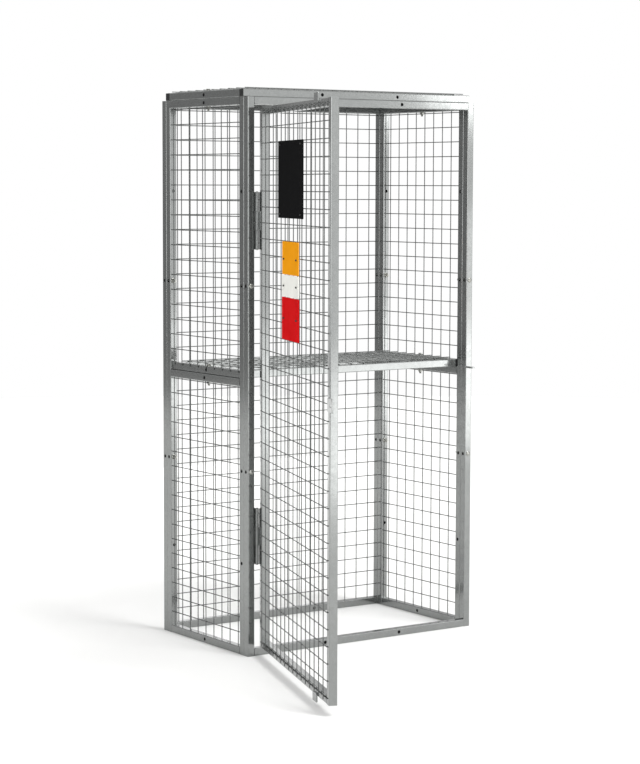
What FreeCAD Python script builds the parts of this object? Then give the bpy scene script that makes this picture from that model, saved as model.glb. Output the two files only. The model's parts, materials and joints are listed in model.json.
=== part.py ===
import FreeCAD, Part
import Sketcher
import math
import os

# A free-standing cage of bolted square-tube and wire-mesh panels with one hinged door.
# Places are worked out from the front left bottom corner of the cage: X runs right along
# the front, Y runs back and Z runs up. The finished frame has its origin on the floor,
# under the middle of the front bottom rail.

DRIVING_SIZES = (
    ("cage_width", 900.0, "outside width of the front frame, the back panel and the roof"),
    ("cage_depth", 525.0, "outside depth from the front frame to the back panel"),
    ("post_height", 1775.0, "height of the posts and uprights"),
    ("tube_size", 25.0, "side of the square tube"),
    ("tube_wall", 1.5, "wall of the square tube"),
    ("tube_corner", 2.5, "outside corner radius of the square tube"),
    ("mid_rail_top", 887.5, "height of the seat for the shelf on the side panels"),
    ("mesh_pitch", 49.3, "distance between neighbouring wires of the mesh"),
    ("wire_dia", 3.0, "diameter of a mesh wire"),
    ("mesh_setback", 3.5, "mesh behind the outer face of the side and back panels"),
    ("side_mesh_margin", 10.0, "least distance from an upright to the first wire beside it"),
    ("lower_level_start", 45.0, "first level wire above the bottom rails"),
    ("upper_level_start", 69.0, "first level wire above the middle rails"),
    ("door_level_start", 18.0, "first level wire above the door's lower edge"),
    ("mesh_lap", 10.0, "length of wire that laps onto a tube on the door, roof and shelf"),
    ("door_mesh_lap", 15.5, "length of an upright wire that laps onto the door's rails"),
    ("shelf_mesh_lap", 8.5, "length of the side panels' upright wires in front of the shelf"),
    ("roof_mesh_margin", 40.0, "least distance from a roof or shelf end to the first cross wire"),
    ("roof_edge_margin", 10.0, "least distance from the roof's front edge to the first long wire"),
    ("shelf_edge_margin", 30.0, "least distance from the shelf's front edge to the first long wire"),
    ("shelf_clearance", 0.5, "space between the shelf and the panels around it"),
    ("vent_hole_dia", 11.0, "plain round hole in the tubes"),
    ("rail_hole_spacing", 300.0, "distance between the two holes of a long rail"),
    ("joint_height", 593.0, "joint bolts from the floor and from the top of the posts"),
    ("vent_height", 296.0, "plain holes of the uprights from the floor and from the top"),
    ("bolt_dia", 8.0, "shank of every bolt"),
    ("bolt_clearance", 0.2, "radial space around a bolt in its hole"),
    ("hex_size", 13.0, "width across flats of bolt heads and nuts"),
    ("bolt_head_height", 5.5, "hexagon of a bolt head"),
    ("bolt_flange_dia", 17.0, "flange under a bolt head"),
    ("bolt_flange_height", 1.5, "thickness of that flange"),
    ("cup_head_dia", 16.0, "low round head of a joint bolt"),
    ("cup_head_top", 10.0, "diameter of the flat top of that head"),
    ("cup_head_height", 4.0, "height of that head"),
    ("thread_clearance", 0.05, "radial space between a bolt and its nut"),
    ("nut_height", 6.5, "height of a hexagon nut"),
    ("washer_dia", 17.0, "outside diameter of a washer"),
    ("washer_height", 1.6, "thickness of a washer"),
    ("bolt_end", 6.0, "length of a bolt beyond its nut"),
    ("cap_length", 12.0, "depth of a plastic end cap inside its tube"),
    ("cap_clearance", 0.05, "space between an end cap and the tube wall"),
    ("door_gap", 8.0, "space between the door and the front frame"),
    ("door_proud", 0.5, "door in front of the front frame"),
    ("door_open_angle", 109.5, "angle of the door at rest, zero when shut"),
    ("hinge_length", 180.0, "length of one hinge over its three knuckles"),
    ("hinge_spacing", 1000.0, "distance between the middles of the two hinges"),
    ("hinge_leaf", 3.0, "thickness of a hinge leaf"),
    ("hinge_leaf_reach", 22.0, "hinge leaf behind the face of the front frame"),
    ("hinge_offset", 8.0, "hinge axis in front of the face of the front frame"),
    ("knuckle_dia", 11.0, "outside diameter of a hinge knuckle"),
    ("knuckle_clearance", 0.5, "space around a knuckle of the other leaf"),
    ("knuckle_end_gap", 0.3, "space between the ends of neighbouring knuckles"),
    ("pin_dia", 6.0, "hinge pin"),
    ("pin_clearance", 0.05, "radial running clearance of the pin"),
    ("pin_head_dia", 9.0, "head of the hinge pin"),
    ("pin_head_height", 2.0, "height of that head"),
    ("stop_tab_place", 175.0, "middle of the stop tabs from the lock post's outer face"),
    ("stop_tab_width", 40.0, "width of a stop tab"),
    ("stop_tab_thickness", 5.0, "thickness of a stop tab"),
    ("stop_tab_seat", 8.0, "length of a stop tab that is welded to the door"),
    ("stop_tab_lap", 10.0, "length of a stop tab over the front frame's rail"),
    ("lug_width", 14.0, "width of the padlock lug"),
    ("lug_reach", 26.0, "lug in front of the post"),
    ("lug_thickness", 5.0, "thickness of the lug"),
    ("lug_hole_dia", 9.0, "padlock hole in the lug"),
    ("lug_hole_edge", 10.0, "padlock hole's centre from the lug's tip"),
    ("hasp_height", 40.0, "height of the slotted hasp plate"),
    ("hasp_thickness", 4.0, "thickness of the hasp plate"),
    ("hasp_seat", 14.0, "width of the hasp plate that is welded to the door"),
    ("hasp_rim", 6.0, "width of the hasp plate beyond its slot"),
    ("slot_clearance_side", 2.5, "space beside the lug in the slot"),
    ("slot_clearance_level", 1.5, "space above and below the lug in the slot"),
    ("plate_corner", 3.0, "corner radius of the hasp plate"),
    ("sign_thickness", 2.0, "thickness of the sign plates"),
    ("sign_corner", 4.0, "corner radius of the sign plates"),
    ("top_sign_width", 295.0, "width of the black plate"),
    ("top_sign_height", 230.0, "height of the black plate"),
    ("top_sign_gap", 69.0, "space between the amber plate and the black plate above it"),
    ("amber_sign_width", 194.0, "width of the amber plate"),
    ("amber_sign_height", 98.0, "height of the amber plate"),
    ("small_sign_width", 200.0, "width of the white and red plates"),
    ("white_sign_height", 65.0, "height of the white plate"),
    ("red_sign_height", 127.0, "height of the red plate"),
    ("red_sign_base", 1039.0, "height of the red plate's lower edge"),
    ("sign_gap", 1.5, "space between neighbouring small plates"),
    ("tie_width", 4.0, "width of a cable tie"),
    ("tie_thickness", 1.2, "thickness of a cable tie"),
    ("tie_clearance", 0.3, "space around a cable tie in its two holes"),
    ("tie_edge", 12.0, "least distance of a cable tie from the edge of its plate"),
)

document = FreeCAD.newDocument("gas_cylinder_cage")
sheet = document.addObject("Spreadsheet::Sheet", "sizes")
for row, (alias, value, note) in enumerate(DRIVING_SIZES, start=1):
    sheet.set(f"A{row}", alias)
    sheet.set(f"B{row}", str(value))
    sheet.set(f"C{row}", note)
    sheet.setAlias(f"B{row}", alias)
document.recompute()

mm = {alias: float(sheet.get(alias)) for alias, _, _ in DRIVING_SIZES}

# Heights, widths and places that follow from the driving sizes
tube = mm["tube_size"]
pitch = mm["mesh_pitch"]
wire = mm["wire_dia"]
clear_width = mm["cage_width"] - 2 * tube
clear_depth = mm["cage_depth"] - 4 * tube
top_rail_base = mm["post_height"] - tube
mid_rail_base = mm["mid_rail_top"] - tube
mid_depth = mm["cage_depth"] / 2
mid_width = mm["cage_width"] / 2

door_left = tube + mm["door_gap"]
door_width = clear_width - 2 * mm["door_gap"]
door_right = door_left + door_width
door_base = tube + mm["door_gap"]
door_height = mm["post_height"] - 2 * door_base
door_middle = door_base + door_height / 2
door_face = -mm["door_proud"]

hinge_x = tube + mm["door_gap"] / 2
hinge_y = -mm["hinge_offset"]

shelf_left = mm["mesh_setback"] + wire + mm["shelf_clearance"]
shelf_front = 2 * tube + mm["shelf_clearance"]
shelf_top = mm["mid_rail_top"] + tube
roof_top = mm["post_height"] + tube

# The origin is on the floor, under the middle of the front bottom rail
TO_ORIGIN = FreeCAD.Placement(FreeCAD.Vector(-mid_width, -tube / 2, 0), FreeCAD.Rotation())
DOOR_SWING = FreeCAD.Placement(
    FreeCAD.Vector(0, 0, 0),
    FreeCAD.Rotation(FreeCAD.Vector(0, 0, 1), -mm["door_open_angle"]),
    FreeCAD.Vector(hinge_x, hinge_y, 0),
)
UPRIGHT = FreeCAD.Rotation()
ALONG_X = FreeCAD.Rotation(FreeCAD.Vector(0, 1, 0), 90)
ALONG_Y = FreeCAD.Rotation(FreeCAD.Vector(1, 0, 0), -90)
AGAINST_Y = FreeCAD.Rotation(FreeCAD.Vector(1, 0, 0), 90)
DOWNWARD = FreeCAD.Rotation(FreeCAD.Vector(1, 0, 0), 180)

nodes = []


def put(shape, x, y, z, rotation=UPRIGHT):
    """Stand a shape at a point of the cage."""
    local = FreeCAD.Placement(FreeCAD.Vector(x, y, z), rotation)
    shape.Placement = TO_ORIGIN.multiply(local)
    return shape


def put_on_door(shape, x, y, z, rotation=UPRIGHT):
    """Stand a shape at a point of the shut door, then swing it open with the door."""
    local = FreeCAD.Placement(FreeCAD.Vector(x, y, z), rotation)
    shape.Placement = TO_ORIGIN.multiply(DOOR_SWING).multiply(local)
    return shape


def keep(shape, name):
    """Name a finished sub-part."""
    shape.Label = name
    nodes.append(shape)
    return shape


def bind(shape, **sizes):
    """Tie properties of a feature to expressions of the sheet."""
    for name, expression in sizes.items():
        shape.setExpression(name, expression)
    return shape


def box(name, length, width, height):
    """A block whose three sides are expressions of the sheet."""
    block = document.addObject("Part::Box", name)
    return bind(block, Length=length, Width=width, Height=height)


def rod(name, radius, height):
    """A cylinder whose radius and height are expressions of the sheet."""
    cylinder = document.addObject("Part::Cylinder", name)
    return bind(cylinder, Radius=radius, Height=height)


def fuse(name, shapes):
    """One solid from several that overlap or touch."""
    joined = document.addObject("Part::MultiFuse", name)
    joined.Shapes = shapes
    joined.Refine = True
    return joined


def cut(name, base, tool):
    """A solid with another taken out of it."""
    remainder = document.addObject("Part::Cut", name)
    remainder.Base = base
    remainder.Tool = tool
    return remainder


def group(name, shapes):
    """A sub-part that is several separate solids."""
    compound = document.addObject("Part::Compound", name)
    compound.Links = shapes
    return keep(compound, name)


def spread(low, high, margin, straddle=False):
    """Places of wires one pitch apart, centred between two limits.

    With straddle there is an even number of them, so the centre line stays free.
    """
    count = math.floor((high - low - 2 * margin) / pitch) + 1
    if straddle:
        count -= count % 2
    first = (low + high) / 2 - (count - 1) * pitch / 2
    return [first + index * pitch for index in range(count)]


def climb(first, limit):
    """Heights of level wires one pitch apart, from the first one up to a limit."""
    count = math.floor((limit - first) / pitch) + 1
    return [first + index * pitch for index in range(count)]


def clear_of(places, wanted, space):
    """The place nearest to a wanted one that keeps its distance from the wires."""
    near = min(places, key=lambda place: abs(place - wanted))
    if abs(wanted - near) >= space:
        return wanted
    return near + space if wanted >= near else near - space


# Square tubes with their holes


def origin_plane(body, role):
    """One of a body's own origin planes."""
    return next(plane for plane in body.Origin.OriginFeatures if plane.Role == role)


def attach(body, name, role):
    """A sketch on one of a body's own origin planes."""
    sketch = body.newObject("Sketcher::SketchObject", name)
    sketch.AttachmentSupport = [(origin_plane(body, role), "")]
    sketch.MapMode = "FlatFace"
    return sketch


def add_square(sketch, name, side, side_expression):
    """A square about the sketch's origin whose side is tied to the sheet."""
    half = side / 2
    corners = [(-half, -half), (half, -half), (half, half), (-half, half)]
    points = [FreeCAD.Vector(x, y, 0) for x, y in corners]
    first = sketch.GeometryCount
    for index in range(4):
        sketch.addGeometry(Part.LineSegment(points[index], points[(index + 1) % 4]), False)
    for index in range(4):
        following = first + (index + 1) % 4
        sketch.addConstraint(Sketcher.Constraint("Coincident", first + index, 2, following, 1))
    sketch.addConstraint(Sketcher.Constraint("Horizontal", first))
    sketch.addConstraint(Sketcher.Constraint("Horizontal", first + 2))
    sketch.addConstraint(Sketcher.Constraint("Vertical", first + 1))
    sketch.addConstraint(Sketcher.Constraint("Vertical", first + 3))
    sketch.addConstraint(Sketcher.Constraint("Symmetric", first, 1, first + 1, 2, -1, 1))
    width = sketch.addConstraint(Sketcher.Constraint("DistanceX", first, 1, first, 2, side))
    height = sketch.addConstraint(Sketcher.Constraint("DistanceY", first + 1, 1, first + 1, 2, side))
    for index, word in ((width, "width"), (height, "height")):
        sketch.renameConstraint(index, f"{name}_{word}")
        sketch.setExpression(f"Constraints.{name}_{word}", side_expression)


def drill(body, name, across, places, diameter, offset=0.0, one_wall=0):
    """Round holes in a tube, at distances along it.

    across is the tube's own X or Y. one_wall is 1 or -1 where only the wall on that side
    is drilled. offset moves the holes sideways from the tube's middle.
    """
    sketch = attach(body, f"{name}_sketch", "YZ_Plane" if across == "X" else "XZ_Plane")
    for index, place in enumerate(places):
        centre = FreeCAD.Vector(offset, place, 0)
        circle = sketch.addGeometry(Part.Circle(centre, FreeCAD.Vector(0, 0, 1), tube / 4), False)
        size = sketch.addConstraint(Sketcher.Constraint("Diameter", circle, tube / 4))
        sketch.renameConstraint(size, f"diameter_{index}")
        sketch.setExpression(f"Constraints.diameter_{index}", diameter)
        sketch.addConstraint(Sketcher.Constraint("DistanceY", -1, 1, circle, 3, place))
        if offset > 0:
            sketch.addConstraint(Sketcher.Constraint("DistanceX", -1, 1, circle, 3, offset))
        elif offset < 0:
            sketch.addConstraint(Sketcher.Constraint("DistanceX", circle, 3, -1, 1, -offset))
        else:
            sketch.addConstraint(Sketcher.Constraint("PointOnObject", circle, 3, -2))
    document.recompute()
    solid_volume = body.Shape.Volume
    pocket = body.newObject("PartDesign::Pocket", name)
    pocket.Profile = sketch
    pocket.Type = "Length"
    pocket.setExpression("Length", "sizes.tube_size * 2")
    if one_wall:
        # A sketch on the YZ plane looks along +X and one on the XZ plane along -Y.
        pocket.SideType = "One side"
        normal_side = 1 if across == "X" else -1
        pocket.Reversed = one_wall == normal_side
    else:
        pocket.SideType = "Symmetric"
    document.recompute()
    if body.Shape.Volume >= solid_volume:
        raise RuntimeError(f"{body.Name}: {name} cuts nothing")


def square_tube(name, length):
    """A straight length of square tube with rounded outside corners, along its own Z."""
    body = document.addObject("PartDesign::Body", name)
    ring = attach(body, f"{name}_section", "XY_Plane")
    add_square(ring, "outside", tube, "sizes.tube_size")
    add_square(ring, "inside", tube - 2 * mm["tube_wall"], "sizes.tube_size - 2 * sizes.tube_wall")
    pad = body.newObject("PartDesign::Pad", f"{name}_length")
    pad.Profile = ring
    pad.setExpression("Length", length)
    document.recompute()
    corner_reach = tube / 2 * math.sqrt(2)
    long_edges = []
    for index, edge in enumerate(pad.Shape.Edges, start=1):
        middle = edge.CenterOfMass
        off_axis = math.hypot(middle.x, middle.y)
        if abs(off_axis - corner_reach) < mm["tube_wall"] / 2 and len(edge.Vertexes) == 2:
            long_edges.append(f"Edge{index}")
    rounding = body.newObject("PartDesign::Fillet", f"{name}_corners")
    rounding.Base = (pad, long_edges)
    rounding.setExpression("Radius", "sizes.tube_corner")
    document.recompute()
    return keep(body, name)


POST_LENGTH = "sizes.post_height"
LONG_RAIL = "sizes.cage_width - 2 * sizes.tube_size"
SIDE_RAIL = "sizes.cage_depth - 4 * sizes.tube_size"
ROOF_WIDTH = "sizes.cage_width"
ROOF_DEPTH = "(sizes.cage_depth - 2 * sizes.tube_size)"
SHELF_INSET = "(sizes.mesh_setback + sizes.wire_dia + sizes.shelf_clearance)"
SHELF_WIDTH = f"(sizes.cage_width - 2 * {SHELF_INSET})"
SHELF_DEPTH = "(sizes.cage_depth - 4 * sizes.tube_size - 2 * sizes.shelf_clearance)"
DOOR_HEIGHT = "(sizes.post_height - 2 * sizes.tube_size - 2 * sizes.door_gap)"
DOOR_WIDTH = "(sizes.cage_width - 2 * sizes.tube_size - 2 * sizes.door_gap)"
DOOR_RAIL = f"{DOOR_WIDTH} - 2 * sizes.tube_size"
LOWER_BAY = "sizes.mid_rail_top - 2 * sizes.tube_size"
UPPER_BAY = "sizes.post_height - sizes.tube_size - sizes.mid_rail_top"
UPPER_SIDE_BAY = f"{UPPER_BAY} - sizes.tube_size + sizes.shelf_mesh_lap"
VENT = "sizes.vent_hole_dia"
BOLT_HOLE = "sizes.bolt_dia + 2 * sizes.bolt_clearance"

# Places of the wires, and of what sits between them
lower_bay_wires = climb(tube + mm["lower_level_start"], mid_rail_base - wire)
upper_bay_wires = climb(mm["mid_rail_top"] + mm["upper_level_start"], top_rail_base - wire)
side_wires = spread(2 * tube, mm["cage_depth"] - 2 * tube, mm["side_mesh_margin"])
back_wires = spread(tube, mm["cage_width"] - tube, mm["side_mesh_margin"])
door_uprights = spread(door_left, door_right, mm["side_mesh_margin"], straddle=True)
door_top = door_base + door_height
door_levels = climb(door_base + mm["door_level_start"], door_top - mm["stop_tab_seat"] - wire)
nut_space = (mm["bolt_flange_dia"] + wire) / 2 + mm["bolt_clearance"]
joint_heights = [
    clear_of(lower_bay_wires, mm["joint_height"], nut_space),
    clear_of(upper_bay_wires, mm["post_height"] - mm["joint_height"], nut_space),
]
vent_heights = [mm["vent_height"], mm["post_height"] - mm["vent_height"]]
panel_bolt_x = mm["mesh_setback"] + 2 * wire + mm["washer_dia"] / 2


# Tube frames


def rail_holes(length):
    """Places of the two holes along a rail of the cage's width."""
    return [length / 2 - mm["rail_hole_spacing"] / 2, length / 2 + mm["rail_hole_spacing"] / 2]


def post(name, x, y):
    """A full-height post of the front frame or back panel, drilled for its joint bolts."""
    body = square_tube(name, POST_LENGTH)
    drill(body, f"{name}_vents", "X", joint_heights, VENT)
    drill(body, f"{name}_bolt_holes", "Y", joint_heights, BOLT_HOLE)
    put(body, x, y, 0)


def long_rail(name, y, base, drilled=True):
    """A rail of the front frame or back panel, between two posts."""
    body = square_tube(name, LONG_RAIL)
    if drilled:
        drill(body, f"{name}_holes", "Y", rail_holes(clear_width), VENT)
    put(body, tube, y, base + tube / 2, ALONG_X)


def front_frame():
    """Two posts with a top and a bottom rail between them."""
    post("front_left_post", tube / 2, tube / 2)
    post("front_right_post", mm["cage_width"] - tube / 2, tube / 2)
    long_rail("front_top_rail", tube / 2, top_rail_base)
    long_rail("front_bottom_rail", tube / 2, 0)


def back_frame():
    """Two posts with three rails between them."""
    y = mm["cage_depth"] - tube / 2
    post("back_left_post", tube / 2, y)
    post("back_right_post", mm["cage_width"] - tube / 2, y)
    long_rail("back_top_rail", y, top_rail_base)
    long_rail("back_mid_rail", y, mid_rail_base, drilled=False)
    long_rail("back_bottom_rail", y, 0)


def side_frame(side, x, bolt_x):
    """Two uprights with three rails between them; the middle rail carries the shelf."""
    for end, y in (("front", tube * 1.5), ("rear", mm["cage_depth"] - tube * 1.5)):
        name = f"{side}_{end}_upright"
        body = square_tube(name, POST_LENGTH)
        drill(body, f"{name}_vents", "X", joint_heights, VENT)
        drill(body, f"{name}_bolt_holes", "Y", joint_heights, BOLT_HOLE)
        if end == "front":
            drill(body, f"{name}_plain_holes", "X", vent_heights, VENT)
        else:
            drill(body, f"{name}_plain_holes", "Y", vent_heights, VENT, one_wall=-1)
        put(body, x, y, 0)
    middle = [clear_depth / 2]
    for level, base in (("top", top_rail_base), ("mid", mid_rail_base), ("bottom", 0)):
        name = f"{side}_{level}_rail"
        body = square_tube(name, SIDE_RAIL)
        drill(body, f"{name}_vent", "X", middle, VENT)
        if level != "bottom":
            drill(body, f"{name}_bolt_hole", "Y", middle, BOLT_HOLE, offset=bolt_x - x)
        put(body, x, 2 * tube, base + tube / 2, ALONG_Y)


def tray_frame(name, left, front, base, width_size, depth_size, long_through):
    """A roof or shelf frame of two long and two short tubes.

    With long_through the long tubes are drilled and run past the short ones, which fit
    between them. Without it the long tubes fit between the short ones.
    """
    width = mm["cage_width"] - 2 * left
    depth = mm["cage_depth"] - 2 * front
    fitted = " - 2 * sizes.tube_size"
    long_start, short_start = (0, tube) if long_through else (tube, 0)
    for end, y in (("front", front + tube / 2), ("rear", front + depth - tube / 2)):
        body = square_tube(f"{name}_{end}_tube", width_size + ("" if long_through else fitted))
        if long_through:
            drill(body, f"{name}_{end}_holes", "Y", rail_holes(width), VENT)
        put(body, left + long_start, y, base + tube / 2, ALONG_X)
    middle = [depth / 2 - short_start]
    for side, x, inward in (("left", left + tube / 2, 1), ("right", left + width - tube / 2, -1)):
        body = square_tube(f"{name}_{side}_tube", depth_size + (fitted if long_through else ""))
        drill(body, f"{name}_{side}_vent", "X", middle, VENT)
        offset = inward * (panel_bolt_x - left - tube / 2)
        drill(body, f"{name}_{side}_bolt_hole", "Y", middle, BOLT_HOLE, offset=offset)
        put(body, x, front + short_start, base + tube / 2, ALONG_Y)


def door_frame():
    """Two full-height stiles with a top and a bottom rail between them."""
    y = door_face + tube / 2
    for name, x in (("door_hinge_stile", door_left + tube / 2), ("door_lock_stile", door_right - tube / 2)):
        put_on_door(square_tube(name, DOOR_HEIGHT), x, y, door_base)
    top_base = door_base + door_height - tube
    for name, base in (("door_top_rail", top_base), ("door_bottom_rail", door_base)):
        put_on_door(square_tube(name, DOOR_RAIL), door_left + tube, y, base + tube / 2, ALONG_X)


# Wire mesh


def strand(name, length, put_with, x, y, z, rotation=UPRIGHT):
    """One straight wire that starts at a point."""
    return put_with(rod(name, "sizes.wire_dia / 2", length), x, y, z, rotation)


def bay_mesh(panel, uprights, upright_point, upper, level_point, level_length, level_rotation):
    """Upright wires with level wires behind them, in the lower and the upper bay of a panel.

    upper holds the lower end and the length of the upper bay's upright wires.
    """
    strands = []
    bays = (
        ("lower", tube, LOWER_BAY, lower_bay_wires),
        ("upper", *upper, upper_bay_wires),
    )
    for bay, base, height, levels in bays:
        for index, place in enumerate(uprights):
            name = f"{panel}_{bay}_upright_wire_{index}"
            strands.append(strand(name, height, put, *upright_point(place), base))
        for index, z in enumerate(levels):
            name = f"{panel}_{bay}_level_wire_{index}"
            strands.append(strand(name, level_length, put, *level_point, z, level_rotation))
    group(f"{panel}_mesh", strands)


def side_mesh(side, outer_x, inward):
    """The mesh of a side panel, just behind the outer faces of its tubes."""
    upright_x = outer_x + inward * (mm["mesh_setback"] + wire / 2)
    level_x = upright_x + inward * wire
    upper = (shelf_top - mm["shelf_mesh_lap"], UPPER_SIDE_BAY)
    start = (level_x, 2 * tube)
    bay_mesh(side, side_wires, lambda y: (upright_x, y), upper, start, SIDE_RAIL, ALONG_Y)


def back_mesh():
    """The mesh of the back panel, just behind the outer faces of its tubes."""
    upright_y = mm["cage_depth"] - mm["mesh_setback"] - wire / 2
    level_y = upright_y - wire
    upper = (mm["mid_rail_top"], UPPER_BAY)
    start = (tube, level_y)
    bay_mesh("back", back_wires, lambda x: (x, upright_y), upper, start, LONG_RAIL, ALONG_X)


def tray_mesh(name, left, front, top, edge_margin, width_size, depth_size):
    """Cross wires on the roof's or shelf's tubes, with long wires on top of them."""
    width = mm["cage_width"] - 2 * left
    depth = mm["cage_depth"] - 2 * front
    end = tube - mm["mesh_lap"]
    trim = "2 * (sizes.tube_size - sizes.mesh_lap)"
    long_wires = spread(front, front + depth, edge_margin, straddle=True)
    cross_end = min(end, long_wires[0] - wire - front)
    strands = []
    for index, x in enumerate(spread(left, left + width, mm["roof_mesh_margin"])):
        wire_name = f"{name}_cross_wire_{index}"
        start = (x, front + cross_end, top + wire / 2)
        strands.append(strand(wire_name, f"{depth_size} - {2 * cross_end}", put, *start, ALONG_Y))
    for index, y in enumerate(long_wires):
        wire_name = f"{name}_long_wire_{index}"
        start = (left + end, y, top + 1.5 * wire)
        strands.append(strand(wire_name, f"{width_size} - {trim}", put, *start, ALONG_X))
    group(f"{name}_mesh", strands)


def door_mesh():
    """Level wires on the door's outer face, with upright wires in front of them."""
    level_y = door_face - wire / 2
    upright_y = level_y - wire
    foot = door_base + tube - mm["door_mesh_lap"]
    height = f"{DOOR_HEIGHT} - 2 * (sizes.tube_size - sizes.door_mesh_lap)"
    strands = []
    for index, x in enumerate(door_uprights):
        name = f"door_upright_wire_{index}"
        strands.append(strand(name, height, put_on_door, x, upright_y, foot))
    level_left = door_left + tube - mm["mesh_lap"]
    level_length = f"{DOOR_WIDTH} - 2 * (sizes.tube_size - sizes.mesh_lap)"
    for index, z in enumerate(door_levels):
        name = f"door_level_wire_{index}"
        strands.append(strand(name, level_length, put_on_door, level_left, level_y, z, ALONG_X))
    group("door_mesh", strands)


# Plastic end caps


def cap(name, put_with, x, y, z, rotation):
    """A square plug whose outer face is flush with the end of its tube."""
    side = "sizes.tube_size - 2 * sizes.tube_wall - 2 * sizes.cap_clearance"
    plug = box(f"{name}_plug", side, side, "sizes.cap_length")
    plug_half = tube / 2 - mm["tube_wall"] - mm["cap_clearance"]
    plug.Placement = FreeCAD.Placement(FreeCAD.Vector(-plug_half, -plug_half, 0), UPRIGHT)
    holder = document.addObject("Part::Compound", name)
    holder.Links = [plug]
    return put_with(holder, x, y, z, rotation)


def tray_caps(name, left, front, base, long_through):
    """The four caps in the open ends of the roof's long tubes or the shelf's short ones."""
    caps = []
    right = mm["cage_width"] - left
    rear = mm["cage_depth"] - front
    if long_through:
        rotation = ALONG_X
        across = (left, right - mm["cap_length"])
        along = (front + tube / 2, rear - tube / 2)
    else:
        rotation = ALONG_Y
        across = (left + tube / 2, right - tube / 2)
        along = (front, rear - mm["cap_length"])
    for side, x in zip(("left", "right"), across):
        for end, y in zip(("front", "rear"), along):
            caps.append(cap(f"{name}_{end}_{side}_cap", put, x, y, base + tube / 2, rotation))
    group(f"{name}_end_caps", caps)


def post_caps():
    """Caps in the feet of the posts and uprights, and in the tops of the posts."""
    caps = []
    top = mm["post_height"] - mm["cap_length"]
    for side, x in (("left", tube / 2), ("right", mm["cage_width"] - tube / 2)):
        for end, sign, start in (("front", 1, 0), ("back", -1, mm["cage_depth"])):
            post_y = start + sign * tube / 2
            upright_y = start + sign * tube * 1.5
            for place, y, z in (("top", post_y, top), ("foot", post_y, 0), ("upright_foot", upright_y, 0)):
                caps.append(cap(f"{end}_{side}_{place}_cap", put, x, y, z, UPRIGHT))
    group("post_end_caps", caps)


def door_caps():
    """Caps in both ends of the door's stiles."""
    caps = []
    y = door_face + tube / 2
    for side, x in (("hinge", door_left + tube / 2), ("lock", door_right - tube / 2)):
        for end, z in (("foot", door_base), ("top", door_base + door_height - mm["cap_length"])):
            caps.append(cap(f"door_{side}_{end}_cap", put_on_door, x, y, z, UPRIGHT))
    group("door_end_caps", caps)


# Fasteners


def hexagon(name, height):
    """A hexagonal prism with the width across flats of the heads and nuts."""
    prism = document.addObject("Part::Prism", name)
    prism.Polygon = 6
    return bind(prism, Circumradius="sizes.hex_size / sqrt(3)", Height=height)


def flange_bolt(name, shank, x, y, z, rotation):
    """A hexagon bolt with a flange; its shank runs along +Z from the face under the flange."""
    stem = rod(f"{name}_shank", "sizes.bolt_dia / 2", shank)
    flange = rod(f"{name}_flange", "sizes.bolt_flange_dia / 2", "sizes.bolt_flange_height")
    flange.Placement.Base = FreeCAD.Vector(0, 0, -mm["bolt_flange_height"])
    head = hexagon(f"{name}_head", "sizes.bolt_head_height")
    head.Placement.Base = FreeCAD.Vector(0, 0, -mm["bolt_flange_height"] - mm["bolt_head_height"])
    return put(fuse(name, [stem, flange, head]), x, y, z, rotation)


def cup_bolt(name, shank, x, y, z, rotation):
    """A bolt with a low round head; its shank runs along +Z from the face under the head."""
    stem = rod(f"{name}_shank", "sizes.bolt_dia / 2", shank)
    head = document.addObject("Part::Cone", f"{name}_head")
    bind(head, Radius1="sizes.cup_head_top / 2", Radius2="sizes.cup_head_dia / 2")
    bind(head, Height="sizes.cup_head_height")
    head.Placement.Base = FreeCAD.Vector(0, 0, -mm["cup_head_height"])
    return put(fuse(name, [stem, head]), x, y, z, rotation)


def nut(name, x, y, z, rotation, flanged):
    """A hexagon nut along +Z from its seat, plain or on a flange of its own."""
    body = hexagon(f"{name}_body", "sizes.nut_height")
    depth = "sizes.nut_height"
    if flanged:
        flange = rod(f"{name}_flange", "sizes.bolt_flange_dia / 2", "sizes.bolt_flange_height")
        body.Placement.Base = FreeCAD.Vector(0, 0, mm["bolt_flange_height"])
        body = fuse(f"{name}_blank", [flange, body])
        depth = "sizes.nut_height + sizes.bolt_flange_height"
    thread = rod(f"{name}_thread", "sizes.bolt_dia / 2 + sizes.thread_clearance", depth)
    return put(cut(name, body, thread), x, y, z, rotation)


def joint_fasteners():
    """Bolts through the posts and uprights, with flange nuts inside the cage."""
    bolts = []
    nuts = []
    stack = "2 * sizes.tube_size + sizes.bolt_flange_height + sizes.nut_height + sizes.bolt_end"
    ends = (
        ("front", 0, 2 * tube, ALONG_Y),
        ("rear", mm["cage_depth"], mm["cage_depth"] - 2 * tube, AGAINST_Y),
    )
    for side, x in (("left", tube / 2), ("right", mm["cage_width"] - tube / 2)):
        for end, head_y, nut_y, rotation in ends:
            for level, z in zip(("low", "high"), joint_heights):
                place = f"{side}_{end}_{level}"
                bolts.append(cup_bolt(f"{place}_bolt", stack, x, head_y, z, rotation))
                nuts.append(nut(f"{place}_nut", x, nut_y, z, rotation, flanged=True))
    group("joint_bolts", bolts)
    group("joint_nuts", nuts)


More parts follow.
